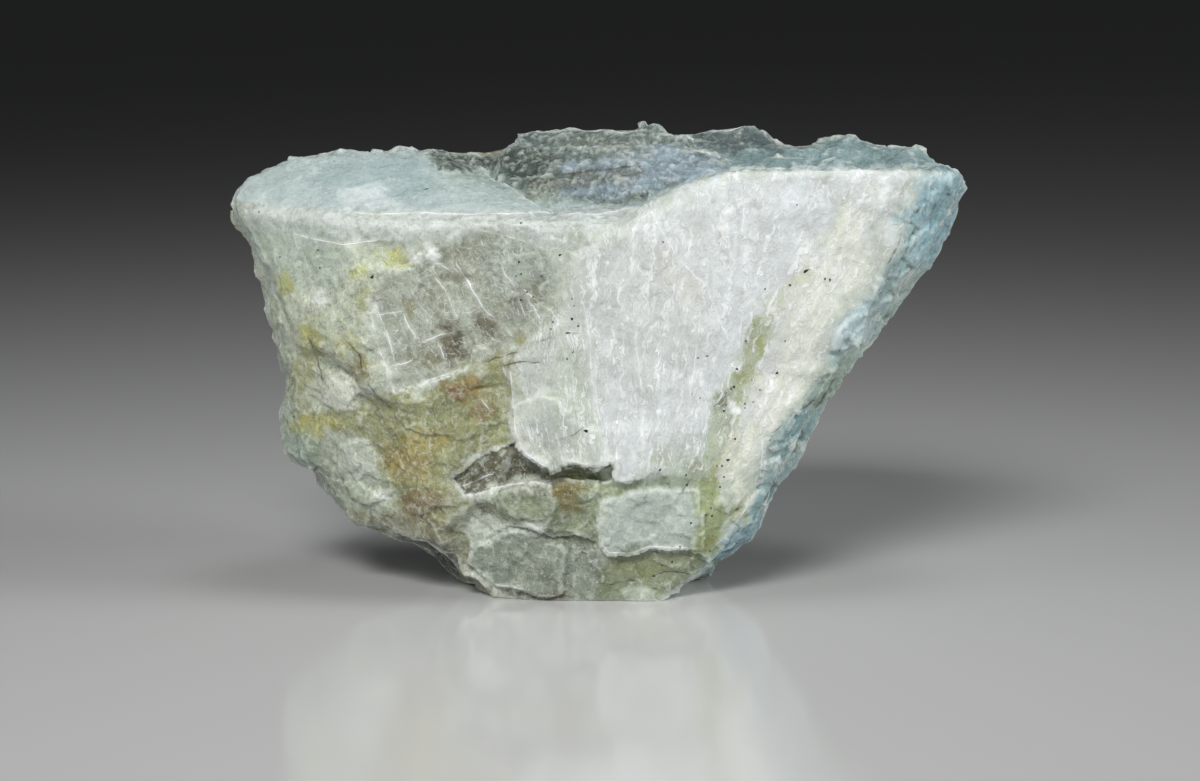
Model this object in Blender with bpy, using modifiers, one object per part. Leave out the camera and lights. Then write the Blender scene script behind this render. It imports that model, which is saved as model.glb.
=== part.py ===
"""A rough piece of chiolite: a milky, cleaved chunk that stands on a small flat foot.

The stone is described in millimetres, with +X to the right, +Y to the back and +Z up.
It is built as a heap of overlapping angular blocks, one for each mass that can be told
apart, which are trimmed to the outline, fused, given their cleavage sheets, hollows and
broken faces, and cut off flat at the foot.
"""

import math

import bmesh
import bpy
import numpy as np
from mathutils import Matrix, Vector, noise

MM = 0.001

# The finished stone is about 61 wide, 34 deep and 38 high.
STONE_COLOUR = (0.62, 0.70, 0.65, 1.0)

# The outline and the visible corners are measured as the stone is seen from the front,
# from a little above the table: across from its middle, up from its front foot line.
LOOK_DOWN = math.radians(9.0)
EYE_DISTANCE = 377.0
AIM_ACROSS = 0.17
AIM_UP = 17.55
FOOT_FRONT = -9.0

LEFT_OUTLINE = [
    (-9.2, -3.0), (-9.2, 0.0), (-9.6, 0.7), (-10.3, 1.2), (-11.4, 1.4), (-12.8, 2.8),
    (-14.1, 3.7), (-14.9, 4.5), (-16.6, 5.0), (-19.1, 5.9), (-20.6, 6.3), (-21.0, 7.1),
    (-22.5, 8.8), (-23.3, 9.7), (-23.5, 10.8), (-24.5, 11.1), (-26.2, 12.3), (-26.6, 13.3),
    (-26.7, 15.1), (-26.6, 16.3), (-26.2, 17.6), (-26.1, 18.8), (-26.7, 19.8), (-27.1, 22.1),
    (-27.7, 24.2), (-27.7, 25.6), (-28.2, 26.6), (-28.7, 27.6), (-29.1, 29.4), (-29.7, 30.6),
    (-30.4, 31.6), (-30.9, 32.5), (-31.1, 33.3),
]
TOP_OUTLINE = [
    (-30.6, 34.4), (-29.6, 35.2), (-28.2, 35.9), (-27.1, 36.4), (-25.8, 36.9), (-24.5, 37.1),
    (-22.0, 37.4), (-20.4, 37.7), (-19.1, 37.5), (-16.6, 37.6), (-15.8, 37.9), (-15.1, 37.6),
    (-13.2, 37.8), (-12.3, 37.6), (-11.4, 37.3), (-9.3, 37.1), (-7.5, 37.7), (-7.0, 38.4),
    (-6.4, 38.8), (-5.3, 39.3), (-4.0, 39.2), (-3.2, 39.5), (-2.3, 39.5), (0.2, 39.3),
    (1.2, 39.5), (2.7, 39.5), (3.7, 40.0), (5.2, 39.9), (5.6, 39.4), (6.5, 38.7),
    (7.5, 38.9), (9.8, 39.3), (11.5, 39.3), (12.1, 39.7), (13.2, 39.9), (14.0, 39.5),
    (15.2, 38.5), (16.5, 38.1), (18.2, 38.5), (20.3, 38.5), (21.1, 38.9), (24.0, 38.6),
    (27.0, 37.9), (28.0, 37.2), (29.1, 36.6), (29.7, 36.1), (30.6, 35.9),
]
RIGHT_OUTLINE = [
    (31.0, 35.4), (31.0, 34.7), (30.5, 33.7), (30.2, 32.5), (29.5, 31.2), (29.3, 30.2),
    (28.5, 29.0), (28.3, 28.2), (27.1, 26.9), (26.3, 26.0), (25.1, 24.5), (24.0, 23.5),
    (23.5, 22.2), (22.6, 20.9), (20.7, 18.9), (20.1, 17.6), (19.4, 16.6), (18.6, 15.8),
    (18.3, 14.7), (17.2, 12.6), (16.8, 11.7), (15.2, 9.2), (14.4, 7.3), (14.1, 5.9),
    (13.7, 4.9), (12.7, 4.3), (11.5, 3.6), (9.4, 2.3), (8.3, 1.7), (6.9, 1.3),
    (6.0, 0.7), (5.4, 0.0), (5.4, -3.0),
]

# The masses. Seen corners are (across, up, depth), hidden corners are plain (x, y, z).
# Corners at the rim lie a little outside the outline, which then trims them.
SEEN_CORNERS = {
    "body": [
        (-8.2, 8.4, -12.0), (3.5, 10.1, -12.8), (10.2, 8.0, -11.3), (12.6, 4.6, -7.5),
        (13.5, 3.2, -2.0), (9.5, 1.0, -4.0), (15.2, 5.2, 0.0), (15.9, 7.3, 0.5),
        (30.4, 29.5, 0.5), (32.0, 33.6, 0.0), (32.2, 35.4, 0.5), (-21.5, 5.5, -1.0),
        (-24.8, 9.2, 0.0), (-28.0, 12.5, 2.0), (-27.8, 18.8, 2.0), (-29.2, 25.1, 1.0),
        (-32.0, 32.3, 0.0), (-16.6, 11.8, -9.5), (-18.2, 17.8, -11.6), (-24.0, 17.0, -6.0),
        (-24.5, 25.1, -8.6), (-22.0, 31.0, -10.2), (-9.0, 31.8, -13.0), (0.2, 31.3, -13.8),
        (3.0, 22.5, -13.9), (25.3, 29.3, -8.6), (20.1, 21.4, -9.2), (16.7, 16.8, -10.0),
        (14.2, 13.4, -10.6),
    ],
    "ridge_wedge": [
        (3.5, 33.0, -11.9), (7.7, 34.8, -12.0), (11.1, 35.9, -12.1), (16.9, 35.9, -11.8),
        (22.4, 36.1, -10.6), (27.6, 36.0, -8.6), (29.6, 36.1, -6.5), (32.4, 36.4, -0.5),
        (32.4, 33.8, -0.5), (25.8, 32.6, -9.2), (25.3, 29.3, -9.1), (23.6, 26.0, -9.3),
        (0.2, 29.6, -14.0), (3.5, 16.8, -13.6), (19.6, 21.9, -9.9),
    ],
    "left_lobe": [
        (-32.0, 33.3, -2.0), (-31.5, 35.0, -2.0), (-30.0, 36.2, -1.0), (-28.9, 32.6, -6.0),
        (-22.5, 31.9, -10.0), (-14.1, 31.2, -12.2), (-4.9, 31.7, -13.0), (-27.4, 37.2, 0.0),
        (-24.5, 38.0, 0.5), (-20.4, 38.5, 1.5), (-15.6, 38.4, 2.5), (-13.9, 36.6, 0.0),
        (-11.1, 35.9, -1.0), (-9.3, 35.1, -3.0), (-5.7, 34.4, -5.0), (-29.0, 28.1, -4.0),
        (-25.0, 22.6, -7.6),
    ],
    "back_wall": [
        (-15.3, 38.0, 13.0), (-13.2, 38.4, 13.5), (-12.3, 38.4, 14.0), (-10.3, 38.0, 14.5),
        (-8.5, 38.0, 14.5), (-6.5, 38.4, 14.0),
    ],
    "mound": [
        (-8.3, 37.9, 8.0), (-7.0, 39.4, 8.0), (-5.3, 40.0, 8.5), (-2.3, 40.2, 8.5),
        (1.2, 40.2, 8.0), (4.5, 40.7, 7.0), (6.9, 39.2, 5.0), (8.5, 37.9, 2.0),
        (11.3, 36.8, -4.0), (-8.2, 34.9, -2.0), (-3.2, 33.9, -5.0), (1.8, 33.5, -7.0),
        (7.7, 34.9, -9.0), (10.2, 35.9, -9.5),
    ],
    "rear_rim": [
        (5.8, 38.7, 15.0), (9.4, 39.9, 15.5), (12.1, 40.5, 15.0), (13.6, 40.5, 14.5),
        (15.6, 39.4, 14.0), (21.1, 39.8, 11.5), (24.5, 39.6, 10.0), (28.2, 39.0, 7.0),
        (31.0, 37.9, 3.0), (32.6, 36.9, 0.5),
    ],
    "left_knob": [
        (-27.5, 16.8, 2.0), (-27.9, 15.1, 2.0), (-27.6, 12.6, 2.0), (-26.4, 11.0, 1.0),
        (-24.0, 10.0, 0.0), (-25.3, 15.3, -4.0), (-24.2, 12.6, -4.0), (-26.4, 14.5, -1.5),
    ],
}
HIDDEN_CORNERS = {
    "body": [
        (-9.5, -8.3, -1.5), (-3.0, -9.5, -1.5), (4.0, -9.3, -1.5), (6.3, -7.0, -1.5),
        (6.0, 2.0, -1.5), (1.0, 6.5, -1.5), (-6.0, 6.5, -1.5), (-10.0, 1.0, -1.5),
        (-20.0, 9.0, 10.0), (-8.0, 13.0, 9.0), (6.0, 12.0, 9.0), (12.0, 6.0, 8.0),
        (-24.0, 7.0, 22.0), (-8.0, 17.0, 20.0), (10.0, 16.0, 20.0), (18.0, 8.0, 18.0),
        (-26.0, 7.0, 31.0), (-10.0, 18.0, 30.0), (8.0, 19.0, 30.0), (24.0, 9.0, 30.0),
        (30.0, 2.0, 32.5), (22.0, 9.0, 33.0), (6.0, 15.0, 33.0), (-10.0, 14.0, 31.0),
        (-22.0, 6.0, 32.0),
    ],
    "ridge_wedge": [(12.0, 1.0, 34.0), (27.0, 1.0, 34.0), (8.0, 0.0, 25.0)],
    "left_lobe": [(-9.0, 3.0, 30.0), (-22.0, 7.0, 31.0), (-15.0, 7.5, 33.0), (-20.0, 0.0, 22.0)],
    "back_wall": [
        (-20.0, 9.0, 31.0), (-10.0, 18.0, 31.0), (2.0, 18.0, 31.0), (-12.0, 9.0, 30.0),
        (0.0, 10.0, 30.0),
    ],
    "mound": [(-8.0, 14.0, 32.0), (6.0, 14.0, 32.0), (-4.0, -2.0, 26.0), (8.0, 0.0, 26.0)],
    "rear_rim": [
        (6.0, 7.0, 33.0), (22.0, 4.0, 33.0), (8.0, 20.0, 28.0), (24.0, 9.0, 28.0),
        (29.5, 1.0, 30.0),
    ],
    "left_knob": [(-20.0, 4.0, 12.0), (-20.0, 0.0, 18.0)],
}

# Cleavage sheets and hollows of the front: how far each stands out at a place, how that
# changes per mm across and up, the width of its edge, and its outline.
SHEETS = {
    "main_sheet": (1.1, (-3.0, 12.0), (-0.075, -0.03), 0.45, [
        (3.5, 34.9), (7.7, 36.7), (11.1, 37.8), (34.0, 37.8), (30.0, 20.0), (16.0, 11.0),
        (8.5, 10.2), (1.3, 10.1), (1.2, 11.6), (-0.3, 11.5), (-3.0, 11.6), (-4.2, 11.1), (-5.2, 11.6),
        (-6.4, 12.7), (-6.9, 13.9), (-7.4, 19.3), (-5.7, 22.6), (-3.0, 24.1), (-2.3, 27.6),
        (0.2, 30.6),
    ]),
    "window": (-0.35, (-11.0, 25.0), (0.0, 0.0), 0.6, [
        (-18.3, 26.0), (-13.2, 28.9), (-9.9, 31.0), (-4.9, 29.7), (-3.2, 24.3), (-8.2, 20.1),
        (-11.6, 19.1), (-16.6, 17.6), (-17.8, 21.8),
    ]),
    "hollow_under_the_ledge": (-1.0, (-4.0, 11.0), (0.0, 0.0), 0.7, [
        (-6.7, 13.7), (-6.4, 12.5), (-5.2, 11.5), (-4.2, 10.9), (-3.0, 11.4), (-0.3, 11.3),
        (1.1, 11.5), (1.2, 10.1), (-3.2, 10.1), (-6.9, 9.8), (-10.9, 8.8), (-12.8, 9.9),
        (-10.7, 12.1), (-8.2, 13.4),
    ]),
    "lower_step": (-0.8, (-3.0, 4.0), (0.05, 0.0), 0.5, [
        (-9.7, 8.2), (-7.7, 7.2), (-5.6, 6.2), (-3.8, 5.3), (-2.1, 5.5), (0.1, 5.0),
        (0.8, 4.2), (2.0, 4.0), (5.4, 4.5), (9.0, 4.4), (9.7, -0.8), (-12.2, -0.8),
        (-12.7, 5.9),
    ]),
    "olive_block": (-0.6, (-8.0, 14.0), (-0.03, 0.0), 0.7, [
        (-22.3, 15.1), (-18.4, 16.8), (-13.2, 16.3), (-10.7, 17.6), (-8.2, 18.9), (-7.2, 18.4),
        (-7.0, 13.9), (-10.7, 12.3), (-12.8, 10.1), (-16.6, 8.1), (-20.8, 9.9),
    ]),
    "lobe_front": (0.35, (-20.0, 24.0), (0.02, -0.03), 0.8, [
        (-32.3, 33.1), (-25.0, 32.3), (-21.2, 31.0), (-18.4, 26.0), (-18.0, 21.8),
        (-20.4, 20.1), (-25.0, 21.4), (-29.2, 26.0), (-31.0, 29.3),
    ]),
    "left_chip": (-0.5, (-21.0, 18.0), (0.0, 0.0), 0.6, [
        (-29.2, 22.6), (-25.0, 20.9), (-20.8, 19.7), (-18.6, 16.6), (-22.5, 15.2),
        (-25.0, 13.4), (-28.2, 10.9), (-29.5, 13.4),
    ]),
    "underside": (-0.9, (-13.0, 3.0), (0.0, 0.0), 0.8, [
        (-19.4, 5.6), (-14.1, 4.8), (-11.7, 3.1), (-9.7, 0.0), (-13.2, -0.2), (-18.0, 2.4),
    ]),
}

# No sheet stands out more than this many times its height at its own origin.
MOST_SHEET = 1.6

# The smooth lobe ends on the right between these, and the ragged top starts behind its edge.
LOBE_FADES = (-14.0, -9.0)
LOBE_ENDS = (-10.0, -6.0)
TOP_EDGE_BAND = (-8.0, -4.0)

# How rough each kind of face is, and the widths and heights of its forms.
ROUGHNESS = {"front": 0.22, "lobe": 0.12, "ragged_top": 0.55, "rest": 0.7}
BIG_FLATS = 7.0
SMALL_FLATS = 3.4
SWELL = 0.35
SWELL_LENGTH = 9.0
RIPPLE_LENGTH = 4.0
BED_DIRECTION = (0.05, 0.13, 1.0)
LEDGE_HEIGHT = 1.35

# The fused skin is a little smaller than its blocks, which this makes up for.
OUTWARD = 0.12

# The left and right sides stand out furthest at this depth.
SIDE_DEPTH = 0.5
MIDDLE_OF_VIEW = (0.0, 24.0)

VOXEL = 0.45
TRIANGLES = 9800


def seen(across, up, depth):
    """The point that shows at this place when the stone is looked at, this far back."""
    sideways = across - AIM_ACROSS
    upwards = up - AIM_UP
    sine = math.sin(LOOK_DOWN)
    cosine = math.cos(LOOK_DOWN)
    along = (depth - upwards * sine) / (cosine + upwards * sine / EYE_DISTANCE)
    spread = 1 + along / EYE_DISTANCE
    height = upwards * spread * cosine - along * sine
    return Vector((AIM_ACROSS + sideways * spread, depth, height + AIM_HEIGHT))


# The height that sets the front foot line on the table.
AIM_HEIGHT = 0.0
AIM_HEIGHT = -seen(0.0, 0.0, FOOT_FRONT).z


def mesh_object(name, mesh, collection):
    obj = bpy.data.objects.new(name, mesh)
    collection.objects.link(obj)
    return obj


def evaluated_copy(obj, name):
    """The object's mesh with its modifiers, in world space."""
    bpy.context.view_layer.update()
    graph = bpy.context.evaluated_depsgraph_get()
    mesh = bpy.data.meshes.new_from_object(obj.evaluated_get(graph))
    mesh.transform(obj.matrix_world)
    mesh.name = name
    return mesh


def outline_prism(collection):
    """The outline pushed through the stone along the lines of sight."""
    curve = bpy.data.curves.new("outline", "CURVE")
    curve.dimensions = "2D"
    curve.fill_mode = "BOTH"
    curve.extrude = 40.0
    points = LEFT_OUTLINE + TOP_OUTLINE + RIGHT_OUTLINE
    spline = curve.splines.new("POLY")
    spline.points.add(len(points) - 1)
    for point, (across, up) in zip(spline.points, points):
        point.co = (across - AIM_ACROSS, up - AIM_UP, 0.0, 1.0)
    spline.use_cyclic_u = True
    flat = mesh_object("outline_curve", curve, collection)
    mesh = evaluated_copy(flat, "outline_prism")
    bpy.data.objects.remove(flat)
    shape = bmesh.new()
    shape.from_mesh(mesh)
    bmesh.ops.remove_doubles(shape, verts=shape.verts, dist=0.0001)
    stand_up = Matrix.Rotation(math.radians(90) - LOOK_DOWN, 4, "X")
    for vert in shape.verts:
        spread = 1 - vert.co.z / EYE_DISTANCE
        vert.co = stand_up @ Vector((vert.co.x * spread, vert.co.y * spread, vert.co.z))
        vert.co += Vector((AIM_ACROSS, 0.0, AIM_HEIGHT))
    bmesh.ops.recalc_face_normals(shape, faces=shape.faces)
    shape.to_mesh(mesh)
    shape.free()
    return mesh_object("outline_prism", mesh, collection)


def block(name, trim, collection):
    """One angular mass: the hull of its corners, trimmed to the outline."""
    shape = bmesh.new()
    for corner in SEEN_CORNERS[name]:
        shape.verts.new(seen(*corner))
    for corner in HIDDEN_CORNERS[name]:
        shape.verts.new(corner)
    hull = bmesh.ops.convex_hull(shape, input=shape.verts)
    bmesh.ops.delete(shape, geom=hull["geom_interior"], context="VERTS")
    bmesh.ops.recalc_face_normals(shape, faces=shape.faces)
    mesh = bpy.data.meshes.new(name)
    shape.to_mesh(mesh)
    shape.free()
    obj = mesh_object(name, mesh, collection)
    cut = obj.modifiers.new("trim", "BOOLEAN")
    cut.operation = "INTERSECT"
    cut.solver = "EXACT"
    cut.object = trim
    trimmed = evaluated_copy(obj, name + "_trimmed")
    bpy.data.objects.remove(obj)
    return trimmed


def fused(meshes, collection):
    """All the masses as one skin of small even faces."""
    shape = bmesh.new()
    for mesh in meshes:
        shape.from_mesh(mesh)
    heap = bpy.data.meshes.new("heap")
    shape.to_mesh(heap)
    shape.free()
    obj = mesh_object("heap", heap, collection)
    skin = obj.modifiers.new("fuse", "REMESH")
    skin.mode = "VOXEL"
    skin.voxel_size = VOXEL
    mesh = evaluated_copy(obj, "skin")
    bpy.data.objects.remove(obj)
    return mesh


def coordinates(mesh):
    flat = np.empty(len(mesh.vertices) * 3)
    mesh.vertices.foreach_get("co", flat)
    return flat.reshape(-1, 3)


def shown(points):
    """Where each point shows, as across and up. It is the reverse of seen()."""
    height = points[:, 2] - AIM_HEIGHT
    along = points[:, 1] * math.cos(LOOK_DOWN) - height * math.sin(LOOK_DOWN)
    rise = points[:, 1] * math.sin(LOOK_DOWN) + height * math.cos(LOOK_DOWN)
    spread = 1 + along / EYE_DISTANCE
    across = (points[:, 0] - AIM_ACROSS) / spread + AIM_ACROSS
    return np.column_stack([across, rise / spread + AIM_UP])


def inside_by(places, outline):
    """How far each place lies inside the outline, and the nearest place on it."""
    corners = np.array(outline)
    nearest = np.full(len(places), 1e9)
    touch = np.zeros_like(places)
    inside = np.zeros(len(places), bool)
    for start, end in zip(corners, np.roll(corners, -1, axis=0)):
        side = end - start
        part = np.clip((places - start) @ side / (side @ side), 0, 1)
        foot = start + part[:, None] * side
        gap = np.linalg.norm(places - foot, axis=1)
        closer = gap < nearest
        nearest[closer] = gap[closer]
        touch[closer] = foot[closer]
        if start[1] != end[1]:
            spans = (start[1] > places[:, 1]) != (end[1] > places[:, 1])
            crossing = start[0] + (places[:, 1] - start[1]) * side[0] / side[1]
            inside ^= spans & (places[:, 0] < crossing)
    return np.where(inside, nearest, -nearest), touch


def smooth_step(values, low, high):
    share = np.clip((values - low) / (high - low), 0, 1)
    return share * share * (3 - 2 * share)


def rolling(points, size, seed):
    """Smooth noise from -1 to 1 that rolls over this distance."""
    offset = Vector((seed * 31.7, seed * 17.3, seed * 7.9))
    return np.array([noise.noise(Vector(point) / size + offset) for point in points.tolist()])


def broken(points, size, seed):
    """Noise from -1 to 1 made of small tilted flats about this wide, as on a broken face."""
    generator = np.random.default_rng(seed)
    low = points.min(axis=0) - size
    high = points.max(axis=0) + size
    grid = [np.arange(a, b, size) for a, b in zip(low, high)]
    cells = np.stack(np.meshgrid(*grid, indexing="ij"), axis=-1).reshape(-1, 3)
    cells += generator.uniform(0, size, cells.shape)
    tilt = generator.normal(0, 1, cells.shape)
    tilt /= np.linalg.norm(tilt, axis=1)[:, None]
    lift = generator.uniform(-0.6, 0.6, len(cells))
    value = np.empty(len(points))
    for start in range(0, len(points), 2000):
        some = points[start:start + 2000]
        gaps = ((some[:, None, :] - cells[None, :, :]) ** 2).sum(axis=2)
        own = gaps.argmin(axis=1)
        slope = ((some - cells[own]) * tilt[own]).sum(axis=1) / size
        value[start:start + 2000] = np.clip(lift[own] + slope, -1, 1)
    return value


def faces_of(points, normals):
    """How much each point belongs to the front, the smooth lobe, the ragged top and the rest."""
    front = smooth_step(-normals[:, 1], 0.35, 0.7)
    top = smooth_step(normals[:, 2], 0.45, 0.8)
    beyond_lobe = smooth_step(points[:, 0], *LOBE_ENDS)
    behind_edge = smooth_step(points[:, 1], *TOP_EDGE_BAND)
    return {
        "front": front,
        "lobe": top * (1 - smooth_step(points[:, 0], *LOBE_FADES)),
        "ragged_top": top * beyond_lobe * behind_edge,
        "rest": np.clip(1 - front - top, 0, 1),
    }


def sheet_relief(places):
    """How far the cleavage sheets and hollows stand out at each place of the front."""
    out = np.zeros(len(places))
    for height, origin, change, edge, outline in SHEETS.values():
        gap, _ = inside_by(places, outline)
        here = height + (places - origin) @ np.array(change)
        here = np.clip(here, min(0, MOST_SHEET * height), max(0, MOST_SHEET * height))
        out += here * smooth_step(gap, -edge / 2, edge / 2)
    return out


def rough_relief(points, belongs):
    """The broken flats and the rolling of each kind of face."""
    amount = sum(ROUGHNESS[name] * share for name, share in belongs.items())
    out = amount * (0.9 * broken(points, BIG_FLATS, 3) + 0.6 * broken(points, SMALL_FLATS, 11))
    out += SWELL * rolling(points, SWELL_LENGTH, 1)
    return out + 0.2 * (amount + 0.3) * rolling(points, RIPPLE_LENGTH, 2)


def terraces(points):
    """How far each point moves down to the ledge that it belongs to."""
    bed = points @ np.array(BED_DIRECTION) + 0.3 * rolling(points, 6.0, 5)
    step = bed / LEDGE_HEIGHT
    flat = np.floor(step) + smooth_step(step - np.floor(step), 0.55, 1.0)
    return 0.75 * (flat - step) * LEDGE_HEIGHT


def keep_to_outline(moved, points, normals):
    """Brings back what stands past the outline, and lets the sides fall away from it unevenly."""
    places = shown(moved)
    gap, touch = inside_by(places, LEFT_OUTLINE + TOP_OUTLINE + RIGHT_OUTLINE)
    for index in np.flatnonzero(gap < 0):
        moved[index] = seen(touch[index][0], touch[index][1], moved[index][1])
    sight = normals[:, 1] * math.cos(LOOK_DOWN) - normals[:, 2] * math.sin(LOOK_DOWN)
    side_on = 1 - smooth_step(np.abs(sight), 0.45, 0.8)
    away = np.abs(points[:, 1] + 0.8 * rolling(points, 8.0, 14) - SIDE_DEPTH)
    bite = 0.45 * (2 + broken(points, 5.0, 21) + rolling(points, 4.5, 8))
    fall = np.minimum(0.9, 0.012 * away ** 2)
    inset = side_on * (0.04 + (bite + fall) * smooth_step(away, 0.4, 3.2))
    inset *= smooth_step(places[:, 1], 0.5, 3.0) * (1 - smooth_step(places[:, 1], 33.0, 36.5))
    for index in np.flatnonzero((gap < inset) & (inset > 0.02)):
        inward = np.array(MIDDLE_OF_VIEW) - touch[index]
        place = touch[index] + inward / np.linalg.norm(inward) * inset[index]
        moved[index] = seen(place[0], place[1], moved[index][1])


def give_relief(mesh):
    """Raises the cleavage sheets, sinks the hollows and breaks up the rougher sides."""
    points = coordinates(mesh)
    normals = np.empty(len(points) * 3)
    mesh.vertices.foreach_get("normal", normals)
    normals = normals.reshape(-1, 3)
    belongs = faces_of(points, normals)
    out = sheet_relief(shown(points)) * belongs["front"] + rough_relief(points, belongs)
    moved = points + normals * (OUTWARD + out)[:, None]
    moved[:, 2] += belongs["ragged_top"] * terraces(moved)
    keep_to_outline(moved, points, normals)
    mesh.vertices.foreach_set("co", moved.ravel())
    mesh.update()


def simplified(mesh, collection):
    """The skin again with as few faces as still hold its forms."""
    obj = mesh_object("skin", mesh, collection)
    skin = obj.modifiers.new("even", "REMESH")
    skin.mode = "VOXEL"
    skin.voxel_size = VOXEL
    even = evaluated_copy(obj, "even_skin")
    bpy.data.objects.remove(obj)
    obj = mesh_object("even_skin", even, collection)
    fewer = obj.modifiers.new("fewer", "DECIMATE")
    fewer.ratio = TRIANGLES / (2 * len(even.polygons))
    fewer.use_collapse_triangulate = True
    few = evaluated_copy(obj, "few")
    bpy.data.objects.remove(obj)
    return few


def stand_on_foot(mesh):
    """Cuts the foot off flat and sets the stone down, centred on the origin."""
    shape = bmesh.new()
    shape.from_mesh(mesh)
    everything = shape.verts[:] + shape.edges[:] + shape.faces[:]
    cut = bmesh.ops.bisect_plane(
        shape, geom=everything, plane_co=(0, 0, 0), plane_no=(0, 0, -1), clear_outer=True, dist=0.01
    )
    rim = [item for item in cut["geom_cut"] if isinstance(item, bmesh.types.BMEdge)]
    bmesh.ops.holes_fill(shape, edges=rim, sides=0)
    bmesh.ops.dissolve_degenerate(shape, dist=0.02, edges=shape.edges)
    bmesh.ops.triangulate(shape, faces=[face for face in shape.faces if len(face.verts) > 3])
    bmesh.ops.recalc_face_normals(shape, faces=shape.faces)
    points = np.array([vert.co for vert in shape.verts])
    low = points.min(axis=0)
    high = points.max(axis=0)
    middle = Vector(((low[0] + high[0]) / 2, (low[1] + high[1]) / 2, low[2]))
    for vert in shape.verts:
        vert.co = (vert.co - middle) * MM
    finished = bpy.data.meshes.new("chiolite")
    shape.to_mesh(finished)
    shape.free()
    return finished


def main():
    for obj in list(bpy.data.objects):
        bpy.data.objects.remove(obj)
    stone = bpy.data.collections.new("rough_chiolite")
    helpers = bpy.data.collections.new("helpers")
    bpy.context.scene.collection.children.link(stone)
    bpy.context.scene.collection.children.link(helpers)
    prism = outline_prism(helpers)
    trimmed = [block(name, prism, helpers) for name in SEEN_CORNERS]
    bpy.data.objects.remove(prism)
    skin = fused(trimmed, helpers)
    give_relief(skin)
    obj = mesh_object("chiolite", stand_on_foot(simplified(skin, helpers)), stone)
    look = bpy.data.materials.new("chiolite")
    look.use_nodes = True
    shader = look.node_tree.nodes["Principled BSDF"]
    shader.inputs["Base Color"].default_value = STONE_COLOUR
    shader.inputs["Roughness"].default_value = 0.4
    obj.data.materials.append(look)


main()
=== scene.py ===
"""Rough chiolite: a milky, cleaved stone with olive and brown stains, on a pale glossy floor.

Places on the stone are named as they show in the front view, in pixels across and down from
the top left of a picture 1200 wide and 781 high. Heights of forms are in millimetres.
"""

import math

import bmesh
import bpy
import numpy as np
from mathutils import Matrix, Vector
from mathutils.bvhtree import BVHTree


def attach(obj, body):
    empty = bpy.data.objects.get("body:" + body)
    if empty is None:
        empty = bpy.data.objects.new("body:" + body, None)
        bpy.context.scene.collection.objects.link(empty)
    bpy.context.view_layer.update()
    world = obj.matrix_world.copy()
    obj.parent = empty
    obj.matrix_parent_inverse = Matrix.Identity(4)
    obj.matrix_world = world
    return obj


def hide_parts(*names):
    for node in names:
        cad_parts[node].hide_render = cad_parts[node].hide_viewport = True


# Camera
# The stone is looked at from the front and nine degrees above, through a long lens.
# It comes first, because the places of the markings are given as it sees them.

MM = 0.001
LOOK_DOWN = math.radians(9.0)
EYE_DISTANCE = 377.0
AIM = np.array([0.07, -2.776, 16.043])
MIDDLE = (600.0, 390.5)
MM_PER_PIXEL = 0.08378
SENSOR = 36.0
LENS = 135.0

AHEAD = np.array([0.0, math.cos(LOOK_DOWN), -math.sin(LOOK_DOWN)])
UPRIGHT = np.array([0.0, math.sin(LOOK_DOWN), math.cos(LOOK_DOWN)])
EYE = AIM - AHEAD * EYE_DISTANCE

camera = bpy.data.objects.new("camera", bpy.data.cameras.new("camera"))
camera.data.sensor_width = SENSOR
camera.data.lens = LENS
camera.data.clip_start = 0.01
camera.data.clip_end = 10.0
camera.location = Vector(EYE * MM)
camera.rotation_euler = (math.radians(90) - LOOK_DOWN, 0.0, 0.0)
bpy.context.scene.collection.objects.link(camera)
bpy.context.scene.camera = camera
bpy.context.scene.view_settings.view_transform = "Standard"

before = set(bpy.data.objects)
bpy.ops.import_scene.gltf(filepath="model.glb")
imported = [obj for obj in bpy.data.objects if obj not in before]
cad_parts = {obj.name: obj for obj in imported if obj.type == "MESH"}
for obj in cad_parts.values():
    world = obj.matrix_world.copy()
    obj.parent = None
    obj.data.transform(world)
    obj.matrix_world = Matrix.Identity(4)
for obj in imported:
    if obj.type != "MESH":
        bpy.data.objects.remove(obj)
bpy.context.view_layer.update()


# Skin of the stone
# The real stone is one broken chunk, flat where it cleaved and rough where it tore.
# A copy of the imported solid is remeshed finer, evened out, and given its small relief.

FINENESS = 0.21
MOST_TRIANGLES = 190000
EVENING_ROUNDS = 14
FOOT_FADE = 0.5
OUTSIDE_MOST = 0.25


def smooth_step(value, low, high):
    part = np.clip((value - low) / (high - low), 0, 1)
    return part * part * (3 - 2 * part)


def chance(cells, seed):
    """A number from 0 to 1 for each cell of a lattice, always the same for the same cell."""
    mixed = cells[:, 0] * 73856093 ^ cells[:, 1] * 19349663 ^ cells[:, 2] * 83492791
    mixed = (mixed + seed * 974634777) & 0xFFFFFFFF
    mixed = ((mixed ^ (mixed >> 15)) * 0x2C1B3C6D) & 0xFFFFFFFF
    mixed = ((mixed ^ (mixed >> 12)) * 0x297A2D39) & 0xFFFFFFFF
    mixed = mixed ^ (mixed >> 15)
    return (mixed & 0xFFFFFF) / 0xFFFFFF


# The noise lattice is turned, so that none of its lines runs level or upright.
TURNED = np.array([[0.36, 0.48, -0.8], [-0.8, 0.6, 0.0], [0.48, 0.64, 0.6]])


def rolling(points, length, seed):
    """Soft hills from -1 to 1 whose width is about this length."""
    scaled = points @ TURNED / length
    cells = np.floor(scaled).astype(np.int64)
    inside = scaled - cells
    inside = inside * inside * (3 - 2 * inside)
    total = np.zeros(len(points))
    for corner in np.ndindex(2, 2, 2):
        share = np.ones(len(points))
        for axis in range(3):
            share *= inside[:, axis] if corner[axis] else 1 - inside[:, axis]
        total += share * chance(cells + np.array(corner), seed)
    return total * 2 - 1


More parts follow.
